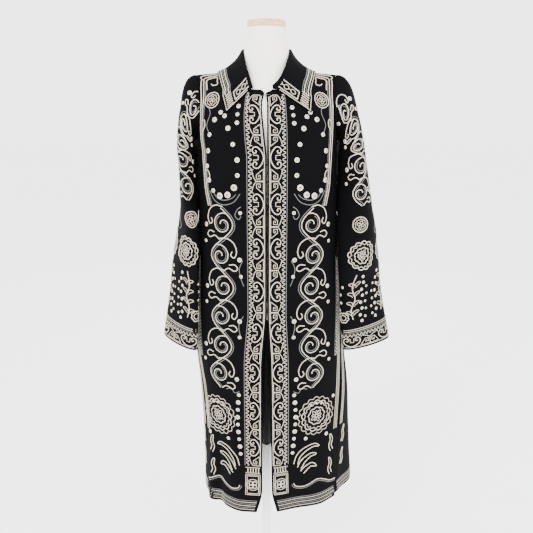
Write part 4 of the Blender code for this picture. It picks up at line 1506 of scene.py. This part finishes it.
def armhole_trimming(flat):
    """What is sewn beside a front's armhole: cords by distance from its edge and height."""

    def set_in(path):
        """The path with its distance counted from the armhole instead."""
        moved = np.array(path, float)
        moved[:, 0] += np.interp(moved[:, 1], flat["heights"], flat["last"])
        return moved

    heights = np.linspace(1446, 1164, 60)
    inner = np.interp(heights, (1164, 1184, 1210, 1260, 1350, 1446), (152, 164, 168, 171, 175, 400))
    edge = np.interp(heights, flat["heights"], flat["last"])
    padded = np.pad(np.minimum(edge, inner), 5, mode="edge")
    down = np.convolve(padded, np.full(11, 1 / 11), "valid")
    cords = []
    for off, kind in ((6, "bright"), (13, "bright"), (18, "grey")):
        over = set_in(((-54, 1455 - off), (-off - 8, 1455 - off), (-off - 1, 1452 - off)))
        side = np.stack([down - off, heights], axis=1)[heights < 1449 - off]
        cords.append((kind, even(np.concatenate([over, side]))))
    for height, size in ((1350, 1.0), (1246, 1.2)):
        root = (np.interp(height, heights[::-1], down[::-1]) - 13, height)
        hook = flowing(((0, 0), (-8, 0), (-12, -10), (-7, -18), (0, -26)))
        cords.append(("bright", placed(hook, root, 0, size)))
    key = ((-20, 1410), (-20, 1436), (-46, 1436), (-46, 1416), (-31, 1416), (-31, 1426))
    fret = cornered(key, 2.4)
    cords.append(("bright", flowing(set_in(fret[::2]))))
    return cords + unskewed(flat, set_in(((-36, 1384),))[0], roundel((0, 0), 19))


def side_trimming(sign):
    """What is sewn along a side seam: cords by distance from the seam and height."""
    cords = []
    for off in (7, 12, 17):
        box = ((sign * off, 560), (sign * off, 1040 - off), (sign * 2, 1040 - off))
        cords.append(("fine", cornered(box, 5)))
    cords.append(("grey", cornered(((sign * 31, 770), (sign * 31, 1030)), 5)))
    cords.append(("fine", wavy((sign * 24, 770), (sign * 24, 1018), 9, 3)))
    spine = ((0, 0), (6, 16), (2, 32), (8, 50))
    for low in (430, 500):
        cords.append(("bright", placed(finger(spine, 9), (sign * 22, low), 0, 1.0, sign < 0)))
    return cords


def back_trimming():
    """What is sewn on the back, in the manner of the fronts, the same on both halves."""
    cords = hem_lines(-420, 420)
    cords += rosette((0, 1330), 56, 0) + roundel((0, 1196), 20)
    cords += [("fine", wavy((0, 420), (0, 1162), 8.6, 3.0)), ("grey", cornered(((0, 1222), (0, 1268)), 5))]
    discs = [(0, 1248, 1.1), (0, 1400, 1.1)]
    ring = np.radians(range(0, 360, 60))
    discs += [(58 * math.cos(t) * 0.62, 1330 + 58 * math.sin(t) * 0.62, 0.6) for t in ring]
    for side in (1, -1):
        cords += [("fine", cornered(((side * off, 402), (side * off, 1162)), 5)) for off in (8, 13)]
        cords += rosette((side * 112, 612), 46, 10) + roundel((side * 128, 1392), 19)
        low, some = rinceau(696, 1150, side * 78, 30, 6, side)
        high, more = rinceau(1190, 1410, side * 104, 22, 3, side)
        far, rest = rinceau(560, 1010, side * 180, 20, 6, -side)
        cords += low + high + far
        discs += some + more + rest
        cords += fronds((side * 40, 486), 0.95, side * 4, side < 0)
        cords += fronds((side * 196, 486), 0.95, side * -4, side > 0)
        lower = ((20, 424), (46, 412), (80, 418), (120, 428), (160, 414), (210, 408))
        cords.append(("bright", flowing(lower) * (side, 1)))
        for k in range(8):
            discs.append((side * (44 + 5 * math.sin(k * 0.6)), 680 - 21 * k, 1.1 if k % 2 else 0.85))
    return cords, discs


def sleeve_trimming(flat):
    """What is sewn on a sleeve, by distance from its outer line and from its cuff."""
    cords = [(kind, path[:, ::-1] + (0, 1)) for kind, path in scroll_and_fret(-200, 200)]
    cords += [("fine", cornered(((-200, y), (200, y)), 5)) for y in (51, 56)]
    discs = []
    for side in (1, -1):
        cords += unskewed(flat, (side * 46, 254), rosette((0, 0), 38))
        cords += unskewed(flat, (side * 78, 338), roundel((0, 0), 19))
        flower = [("bright", scalloped((0, 0), 14, 8, 2.4)), ("fine", arc((0, 0), 7, 0, 360))]
        cords += unskewed(flat, (side * 72, 92), flower)
        stem = ((46, 84), (52, 110), (44, 140), (54, 170), (48, 204))
        cords.append(("bright", flowing([(side * x, y) for x, y in stem])))
        for k in range(4):
            leaf = finger(((0, 0), (8, 7), (19, 10)), 8)
            for flip in (True, False):
                cords.append(("fine", placed(leaf, (side * 48, 98 + 25 * k), 0, 0.9, flip)))
        discs += [(side * (22 + 5 * (k % 2)), 76 + 17 * k, 0.7) for k in range(8)]
        discs += [(side * (84 - 4 * (k % 2)), 112 + 21 * k, 0.6) for k in range(4)]
        discs += [(side * (12 - 3 * (k % 2)), 86 + 20 * k, 0.55) for k in range(5)]
        high, some = rinceau(384, 694, side * 78, 22, 5, side)
        cords += high
        discs += some
        for x in (16, 22):
            line = ((x + 6, 376), (x, 410), (x + 8, 452), (x, 500), (x + 7, 548), (x + 2, 590))
            cords.append(("bright" if x == 16 else "grey", flowing(line) * (side, 1)))
        tendril = ((6, 300), (22, 312), (14, 340), (30, 366))
        cords.append(("grey", flowing([(side * x, y) for x, y in tendril])))
    return cords, discs


def collar_trimming():
    """What is sewn on one half of the collar, by distance from its front end and edge."""
    cords = [("fine", cornered(((2.4, 2), (2.4, 84)), 3))]
    cords.append(("fine", cornered(((3, 2.6), (300, 2.6)), 4)))
    for k in range(4):
        line = cornered(((36, 8 + 4.6 * k), (300, 8 + 4.6 * k)), 4)
        cords.append(("bright" if k % 2 == 0 else "grey", line))
    cords += [("bright", cornered(((6 + 5.6 * k, 7), (6 + 5.6 * k, 22)), 3)) for k in range(6)]
    box = ((7, 28), (27, 28), (27, 80), (7, 80))
    cords.append(("bright", cornered(box, 2.4, closed=True)))
    for middle in (39, 54, 69):
        cords.append(("fine", arc((17, middle), 5.0, 0, 360, 1.6)))
        cords.append(("fine", cornered(((17, middle + 5), (17, middle + 10)), 1.6)))
    return cords


def sew_trimming(cloth, normals, tubes, collar, cords_made_of, discs_made_of):
    """Lays every cord and disc on the cloth. It returns the pieces on each panel."""
    climb = YOKE_TALL * np.linspace(0, 1, YOKE_ROWS + 1)[1:]
    rows = np.concatenate([skirt_heights(), UNDERARM + climb])
    sewn = {name: [] for name in SHEETS}
    spots = {name: [] for name in sewn}
    for name, side in (("front_left", -1), ("front_right", 1)):
        flat = chart(cloth[name], normals[name], rows)
        seam = chart(cloth[name], normals[name], rows, middle=-1)
        cords, discs = front_trimming()
        sewn[name] = all_laid(flat, cords + armhole_trimming(flat))
        sewn[name] += all_laid(seam, side_trimming(-1))
        spots[name] = [(flat, spot) for spot in discs]
    back, back_out = cloth["back"], normals["back"]
    flat = chart(back, back_out, rows, middle=back.shape[1] // 2)
    cords, discs = back_trimming()
    sewn["back"] = all_laid(flat, cords)
    spots["back"] = [(flat, spot) for spot in discs]
    for middle, sign in ((0, 1), (-1, -1)):
        seam = chart(back, back_out, rows, middle=middle)
        sewn["back"] += all_laid(seam, side_trimming(sign))
    for name, (tube, out) in tubes.items():
        wrapped = [np.concatenate([values, values[:, :1]], axis=1)[::-1, ::-1] for values in (tube, out)]
        outer = wrapped[0].shape[1] // 2
        climb = step_lengths(wrapped[0][:, outer])
        flat = chart(wrapped[0], wrapped[1], climb, middle=outer)
        cords, discs = sleeve_trimming(flat)
        sewn[name] = all_laid(flat, cords)
        spots[name] = [(flat, spot) for spot in discs]
    out = collar_normals(collar)
    top = collar + out * COLLAR_CLOTH / 2
    leaf, leaf_out = (
        values[:, LEAF_FIRST:][:, ::-1].transpose(1, 0, 2) for values in (top, out)
    )
    rise = step_lengths(leaf[:, LEAF_MEASURED])
    for reverse in (False, True):
        values = (leaf[:, ::-1], leaf_out[:, ::-1]) if reverse else (leaf, leaf_out)
        half = values[0].shape[1] // 2 + 2
        flat = chart(values[0][:, :half], values[1][:, :half], rise)
        sewn["collar"] += all_laid(flat, collar_trimming(), COLLAR_MARGIN)
    pieces = {name: [] for name in sewn}
    cords, section = cord_tree(), section_shape()
    for name, runs in sewn.items():
        for piece, kinds in (("cord", ("bright", "fine")), ("grey_cord", ("grey",))):
            chosen = [(*run, CORD_WIDTHS[kind]) for kind, run in runs if kind in kinds]
            pieces[name].append(couched(f"{name}_{piece}", chosen, cords, section, cords_made_of[piece]))
    tree, disc = disc_tree(), disc_shape()
    for name, wanted in spots.items():
        kept = []
        for flat, (away, height, size) in wanted:
            spot = np.array([(away + k, height) for k in (-1, 0, 1)])
            for places, outs in laid(flat, spot, DISC_MARGIN):
                kept.append((places[1] + outs[1] * DISC_LIFT, outs[1], size))
        if kept:
            places, outs, sizes = (np.array(column) for column in zip(*kept))
            given = {"Disc": disc, "Finish": discs_made_of}
            pieces[name].append(grown(name + "_discs", places, outs, sizes, tree, given))
    for shape in (section, disc):
        bpy.data.objects.remove(shape, do_unlink=True)
    return pieces


def black_crepe():
    """Wool crepe, woven and soft: nearly black, a dry weave with a faint sheen."""
    made, tree, shader = surface("wool_crepe", "#09090a", 0.86, Sheen_Weight=0.015, Sheen_Roughness=0.5)
    shader.inputs["Sheen Tint"].default_value = (*linear("#6a6a70"), 1)
    shader.inputs["Specular IOR Level"].default_value = 0.035
    place = node(tree, "ShaderNodeUVMap", uv_map="cloth").outputs["UV"]
    # Threads 0.5 mm apart, drawn as bands 2.2 mm apart so that they show
    across = node(tree, "ShaderNodeTexWave", {"Vector": place, "Scale": 143.0, "Distortion": 1.6,
                  "Detail": 1.0, "Detail Scale": 2.0}, bands_direction="X").outputs["Fac"]
    down = node(tree, "ShaderNodeTexWave", {"Vector": place, "Scale": 143.0, "Distortion": 1.6,
                "Detail": 1.0, "Detail Scale": 2.0}, bands_direction="Y").outputs["Fac"]
    weave = node(tree, "ShaderNodeMath", {0: across, 1: down}, operation="MULTIPLY").outputs[0]
    crinkle = node(tree, "ShaderNodeTexNoise", {"Vector": place, "Scale": 420.0,
                   "Detail": 3.0}).outputs["Fac"]
    grain = node(tree, "ShaderNodeMath", {0: weave, 1: crinkle}, operation="ADD").outputs[0]
    bump = node(tree, "ShaderNodeBump", {"Height": grain, "Strength": 0.35, "Distance": 0.0004})
    tree.links.new(bump.outputs[0], shader.inputs["Normal"])
    # Wide, faint changes of the black, as where cloth is brushed and pressed, with painted shade between
    # the threads: the black is darkest where the weave's bands are low
    cloud = node(tree, "ShaderNodeTexNoise", {"Vector": place, "Scale": 9.0, "Detail": 4.0}).outputs["Fac"]
    mixed = node(tree, "ShaderNodeMath", {0: cloud, 1: weave}, operation="MULTIPLY").outputs[0]
    ramp = node(tree, "ShaderNodeValToRGB", {"Fac": mixed})
    ramp.color_ramp.elements[0].color = (*linear("#030304"), 1)
    ramp.color_ramp.elements[1].color = (*linear("#0c0c0e"), 1)
    tree.links.new(ramp.outputs["Color"], shader.inputs["Base Color"])
    return made


def white_jersey():
    """Cotton jersey, knitted and stretched over a padded form: matt off-white."""
    made, tree, shader = surface("cotton_jersey", "#e9e6e0", 0.78, Sheen_Weight=0.25, Sheen_Roughness=0.5)
    place = node(tree, "ShaderNodeTexCoord").outputs["Object"]
    # Knit wales 1 mm apart, drawn as bands 3 mm apart so that they show
    wales = node(tree, "ShaderNodeTexWave", {"Vector": place, "Scale": 105.0, "Distortion": 0.8},
                 bands_direction="X").outputs["Fac"]
    courses = node(tree, "ShaderNodeTexWave", {"Vector": place, "Scale": 120.0, "Distortion": 0.8},
                   bands_direction="Z").outputs["Fac"]
    knit = node(tree, "ShaderNodeMath", {0: wales, 1: courses}, operation="MULTIPLY").outputs[0]
    bump = node(tree, "ShaderNodeBump", {"Height": knit, "Strength": 0.25, "Distance": 0.0004})
    tree.links.new(bump.outputs[0], shader.inputs["Normal"])
    return made


def honey_wood():
    """Beech, turned and clear-varnished: warm, with fine straight grain."""
    made, tree, shader = surface("varnished_beech", "#cfa26b", 0.38, Coat_Weight=0.35, Coat_Roughness=0.25)
    place = node(tree, "ShaderNodeTexCoord").outputs["Object"]
    stretched = node(tree, "ShaderNodeMapping", {"Vector": place, "Scale": (3.0, 40.0, 40.0)}).outputs[0]
    grain = node(tree, "ShaderNodeTexNoise", {"Vector": stretched, "Scale": 6.0, "Detail": 8.0,
                 "Distortion": 0.6}).outputs["Fac"]
    ramp = node(tree, "ShaderNodeValToRGB", {"Fac": grain})
    ramp.color_ramp.elements[0].position = 0.36
    ramp.color_ramp.elements[1].position = 0.68
    ramp.color_ramp.elements[0].color = (*linear("#b98750"), 1)
    ramp.color_ramp.elements[1].color = (*linear("#e0ba86"), 1)
    tree.links.new(ramp.outputs["Color"], shader.inputs["Base Color"])
    bump = node(tree, "ShaderNodeBump", {"Height": grain, "Strength": 0.08, "Distance": 0.0005})
    tree.links.new(bump.outputs[0], shader.inputs["Normal"])
    return made


def blackened_steel():
    """Steel tube, oil-blackened: dull and dark, so that it is lost in the jacket."""
    made, tree, shader = surface("blackened_steel", "#131315", 0.6)
    shader.inputs["Specular IOR Level"].default_value = 0.2
    place = node(tree, "ShaderNodeTexCoord").outputs["Object"]
    film = node(tree, "ShaderNodeTexNoise", {"Vector": place, "Scale": 90.0, "Detail": 3.0}).outputs["Fac"]
    rough = node(tree, "ShaderNodeMapRange", {"Value": film, "To Min": 0.5, "To Max": 0.7}).outputs[0]
    tree.links.new(rough, shader.inputs["Roughness"])
    return made


def white_powder_coat():
    """Steel plate with a white powder coat: fine orange peel."""
    made, tree, shader = surface("powder_coated_steel", "#e6e6e3", 0.42)
    place = node(tree, "ShaderNodeTexCoord").outputs["Object"]
    peel = node(tree, "ShaderNodeTexNoise", {"Vector": place, "Scale": 700.0, "Detail": 2.0}).outputs["Fac"]
    bump = node(tree, "ShaderNodeBump", {"Height": peel, "Strength": 0.12, "Distance": 0.0003})
    tree.links.new(bump.outputs[0], shader.inputs["Normal"])
    return made


def black_wire():
    """Steel wire with black enamel, as sewn hooks and eyes have."""
    made, tree, shader = surface("enamelled_wire", "#1d1d20", 0.35, Coat_Weight=0.6)
    place = node(tree, "ShaderNodeTexCoord").outputs["Object"]
    worn = node(tree, "ShaderNodeTexNoise", {"Vector": place, "Scale": 900.0, "Detail": 2.0}).outputs["Fac"]
    rough = node(tree, "ShaderNodeMapRange", {"Value": worn, "To Min": 0.25, "To Max": 0.5}).outputs[0]
    tree.links.new(rough, shader.inputs["Roughness"])
    return made


def rayon_braid():
    """Braided rayon cord, flat and lustrous: cream, with painted shade, darker and browner, in the grooves
    between its threads.
    """
    made, tree, shader = surface("rayon_braid", "#d9d0bd", 0.42, Sheen_Weight=0.3)
    shader.inputs["Specular IOR Level"].default_value = 0.6
    place = node(tree, "ShaderNodeUVMap", uv_map="cord").outputs["UV"]
    # Slanting threads, drawn as bands 5.7 mm apart along the cord so that they show
    ribs = node(tree, "ShaderNodeTexWave", {"Vector": place, "Scale": 110.0, "Distortion": 0.5},
                bands_direction="DIAGONAL").outputs["Fac"]
    bump = node(tree, "ShaderNodeBump", {"Height": ribs, "Strength": 0.5, "Distance": 0.0004})
    tree.links.new(bump.outputs[0], shader.inputs["Normal"])
    worn = node(tree, "ShaderNodeTexNoise", {"Vector": place, "Scale": 60.0, "Detail": 3.0}).outputs["Fac"]
    # Painted shade: the colour is darker and browner where the ribs are low, in the grooves, and it also
    # varies at random with the noise
    mixed = node(tree, "ShaderNodeMath", {0: worn, 1: ribs}, operation="ADD").outputs[0]
    ramp = node(tree, "ShaderNodeValToRGB", {"Fac": mixed})
    ramp.color_ramp.elements[0].position = 0.35
    ramp.color_ramp.elements[1].position = 0.95
    ramp.color_ramp.elements[0].color = (*linear("#6f6353"), 1)
    ramp.color_ramp.elements[1].color = (*linear("#bcb09b"), 1)
    tree.links.new(ramp.outputs["Color"], shader.inputs["Base Color"])
    return made


def charcoal_cord():
    """Thin rayon cord, dyed charcoal: it only shows where the light catches it."""
    made, tree, shader = surface("charcoal_rayon_cord", "#4b4a4b", 0.5, Sheen_Weight=0.3)
    place = node(tree, "ShaderNodeUVMap", uv_map="cord").outputs["UV"]
    # Slanting threads, drawn as bands 4.8 mm apart along the cord
    ribs = node(tree, "ShaderNodeTexWave", {"Vector": place, "Scale": 130.0},
                bands_direction="DIAGONAL").outputs["Fac"]
    bump = node(tree, "ShaderNodeBump", {"Height": ribs, "Strength": 0.5, "Distance": 0.0003})
    tree.links.new(bump.outputs[0], shader.inputs["Normal"])
    return made


def shell_disc():
    """Shell discs, turned and polished: pearly cream, with brown thread in the dimple."""
    made, tree, shader = surface("polished_shell", "#e5dfd0", 0.28, Coat_Weight=0.5, Coat_Roughness=0.15)
    place = node(tree, "ShaderNodeUVMap", uv_map="disc").outputs["UV"]
    far = node(tree, "ShaderNodeVectorMath", {0: place}, operation="LENGTH").outputs["Value"]
    world = node(tree, "ShaderNodeTexCoord").outputs["Object"]
    cloud = node(tree, "ShaderNodeTexNoise", {"Vector": world, "Scale": 260.0,
                 "Detail": 3.0}).outputs["Fac"]
    reach = node(tree, "ShaderNodeMath", {0: cloud, 1: 0.5}, operation="MULTIPLY").outputs[0]
    mask = node(tree, "ShaderNodeMath", {0: far, 1: reach}, operation="ADD").outputs[0]
    ramp = node(tree, "ShaderNodeValToRGB", {"Fac": mask})
    ramp.color_ramp.elements[0].position = 0.55
    ramp.color_ramp.elements[1].position = 1.0
    ramp.color_ramp.elements[0].color = (*linear("#6a5843"), 1)
    ramp.color_ramp.elements[1].color = (*linear("#d0c7b5"), 1)
    tree.links.new(ramp.outputs["Color"], shader.inputs["Base Color"])
    return made


def sheet_area(grid):
    """The area of a grid's cloth in square metres."""
    a, b = grid[:-1, :-1], grid[:-1, 1:]
    c, d = grid[1:, 1:], grid[1:, :-1]
    return float(np.linalg.norm(np.cross(c - a, d - b), axis=-1).sum() / 2) * MM * MM


def feet_drawn_in(grid):
    """The back with the feet of its vents' edges drawn in, to where the fronts hide them."""
    run = run_along(grid, 1)
    foot = np.clip((BACK_FEET_TOP - skirt_heights()) / BACK_FEET_TALL, 0, 1)
    foot = np.concatenate([foot, np.zeros(len(grid) - len(foot))])[:, None]
    moved = grid.copy()
    for away, sway in ((run, BACK_FEET[0]), (run[:, -1:] - run, BACK_FEET[1])):
        moved[..., 0] += sway * foot * np.exp(-((away / BACK_FEET_WIDE) ** 2))
    return moved


def build_panels(made_of):
    """The two fronts and the back, as thin cloth on their solids."""
    plain, grids, normals = body_panels()
    seams = {
        "front_left": ("last", "top"),
        "front_right": ("last", "top"),
        "back": ("first", "last", "top"),
    }
    for name, grid in grids.items():
        outer = pulled_in(grid, seams[name])
        if name == "back":
            outer = feet_drawn_in(outer)
            grids[name] = grid = feet_drawn_in(grid)
        panel = cloth_wall(name + "_cloth", outer, outer - normals[name] * CLOTH, made_of)
        seated(panel, name, "black_cloth")
    return plain, grids, normals


def build_sleeves(plain, made_of):
    """The two sleeves, as thin tubes with their creases."""
    rings = {}
    for name, side in (("sleeve_left", -1), ("sleeve_right", 1)):
        tube = sleeve_rings(side, plain)
        normals = ring_normals(tube)
        for table, facing in ((SLEEVE_CREASES, 1), (SLEEVE_BACK_CREASES, -1)):
            find = seen_from(tree_of([tube], closed=True), facing)
            tube = creased(tube, normals, table[name], find)
        sleeve = cloth_wall(name + "_cloth", tube, tube - normals * CLOTH, made_of, closed=True)
        seated(sleeve, name, "black_cloth")
        rings[name] = tube, normals
    return rings


def build_collar(plain, made_of):
    """The turned-down collar: its middle surface, subdivided and thickened."""
    grid = collar_grid(plain)
    work = bmesh.new()
    uv = work.loops.layers.uv.new("cloth")
    across, down = run_along(grid, 0), run_along(grid, 1)
    layer = [[work.verts.new(Vector(p) * MM) for p in row] for row in grid]
    for i in range(len(layer) - 1):
        for j in range(len(layer[0]) - 1):
            corners = ((i, j), (i, j + 1), (i + 1, j + 1), (i + 1, j))
            face = work.faces.new([layer[a][b] for a, b in corners])
            for loop, (a, b) in zip(face.loops, corners):
                loop[uv].uv = (across[a][b] * MM, down[a][b] * MM)
    collar = finished("collar_middle", work, made_of)
    soft = collar.modifiers.new("soft", "SUBSURF")
    soft.levels = soft.render_levels = 1
    soft.boundary_smooth = "PRESERVE_CORNERS"
    wall = collar.modifiers.new("wall", "SOLIDIFY")
    wall.thickness = COLLAR_CLOTH * MM
    wall.offset = 0
    wall.use_even_offset = True
    seated(made_plain("collar_cloth", collar), "collar", "black_cloth")
    return grid


def build_stand(steel, paint, wood):
    """The neck cap, the tube and the foot, turned finer than their solids."""
    top = BASE_THICK + BOSS_HEIGHT
    bore = POLE_RADIUS + STAND_GAP
    foot = [(0, 0), (BASE_RADIUS - 1, 0), (BASE_RADIUS, 1)]
    foot += rounded((BASE_RADIUS - 2.4, BASE_THICK - 2.4), 2.4, 0, 90)
    foot += [(BOSS_RADIUS + 4, BASE_THICK)]
    for t in np.radians((30, 60, 90)):
        foot.append((BOSS_RADIUS + 4 - 4 * math.sin(t), BASE_THICK + 4 - 4 * math.cos(t)))
    foot += rounded((BOSS_RADIUS - 3, top - 3), 3, 0, 90)
    foot += rounded((bore + 0.6, top - 0.6), 0.6, 90, 180, 3)
    foot += [(bore, BASE_THICK), (0, BASE_THICK)]
    low, high = BASE_THICK + STAND_GAP, FORM_BOTTOM - STAND_GAP
    inner = POLE_RADIUS - TUBE_WALL
    outer = [(inner + 0.2, low), (POLE_RADIUS, low)]
    outer += rounded((POLE_RADIUS - 0.7, TUBE_TOP - 0.7), 0.7, 0, 170, 8)
    outer += [(inner + 0.2, TUBE_TOP - 1.4), (inner + 0.2, low)]
    root = low + ROD_FOOT
    rod = [(0, root), (inner, root), (inner, high), (0, high)]
    under = NECK_TOP + STAND_GAP
    over = under + CAP_THICK
    cap = [(0, under)] + rounded((CAP_RADIUS - 1.8, under + 1.8), 1.8, -90, 0)
    cap += rounded((CAP_RADIUS - 4.2, over - 4.7), 4.2, 0, 80, 8)
    cap += [(CAP_RADIUS * 0.6, over - 0.15), (0, over)]
    for name, profile, made_of, solid, slot in (
        ("foot", foot, paint, "stand_base", "white_paint"),
        ("tube", outer, paint, "stand_pole", "white_paint"),
        ("rod", rod, steel, "stand_pole", "polished_steel"),
        ("cap", cap, wood, "neck_cap", "light_wood"),
    ):
        seated(turned(name, profile, made_of), solid, slot)


def declare_sheets(panels, tubes, collar):
    """Measures the area of each piece of cloth, and keeps nothing of it."""
    middles = dict(panels)
    for name, (tube, _) in tubes.items():
        middles[name] = np.concatenate([tube, tube[:, :1]], axis=1)
    middles["collar"] = collar
    for name, (flat, held, under) in SHEETS.items():
        sheet_area(middles[name])


def light(name, place, aim, size, power):
    """A soft white disk of light that faces a point of the jacket."""
    lamp = bpy.data.lights.new(name, "AREA")
    lamp.shape = "DISK"
    lamp.size = size
    lamp.energy = power
    obj = added(name, lamp)
    obj.location = place
    obj.rotation_euler = (Vector(aim) - Vector(place)).to_track_quat("-Z", "Y").to_euler()


def build_studio():
    """A plain pale floor, soft lights and the photograph's camera."""
    bpy.ops.mesh.primitive_plane_add(size=FLOOR_WIDE, location=(0, 0, 0))
    floor = bpy.context.object
    floor.name = "floor"
    floor.data.materials.append(surface("pale_floor", "#fafafa", 0.95)[0])
    world = bpy.data.worlds.new("studio")
    world.use_nodes = True
    sky = world.node_tree.nodes["Background"].inputs
    sky["Color"].default_value = (*linear("#fbfbfb"), 1)
    sky["Strength"].default_value = SKY_STRENGTH
    bpy.context.scene.world = world
    for name, *setting in LAMPS[1:]:
        light(name, *setting)
    camera = bpy.data.cameras.new("camera")
    camera.sensor_width = SENSOR
    camera.lens = SENSOR * FOCAL_PIXELS / FRAME_PIXELS
    obj = added("camera", camera)
    obj.location = CAMERA_PLACE
    obj.rotation_euler = (math.radians(90 - CAMERA_TILT), 0, 0)
    bpy.context.scene.camera = obj


crepe = black_crepe()
plain_grids, cloth_grids, cloth_normals = build_panels(crepe)
build_form(plain_grids, white_jersey())
sleeve_tubes = build_sleeves(plain_grids, crepe)
collar_middle = build_collar(plain_grids, crepe)
build_stand(blackened_steel(), white_powder_coat(), honey_wood())
cords_made_of = {"cord": rayon_braid(), "grey_cord": charcoal_cord()}
trimming = sew_trimming(
    cloth_grids, cloth_normals, sleeve_tubes, collar_middle, cords_made_of, shell_disc()
)
declare_sheets(cloth_grids, sleeve_tubes, collar_middle)
wire = black_wire()
for name in ("hook", "eye"):
    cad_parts[name].data.materials.clear()
    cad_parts[name].data.materials.append(wire)
build_studio()
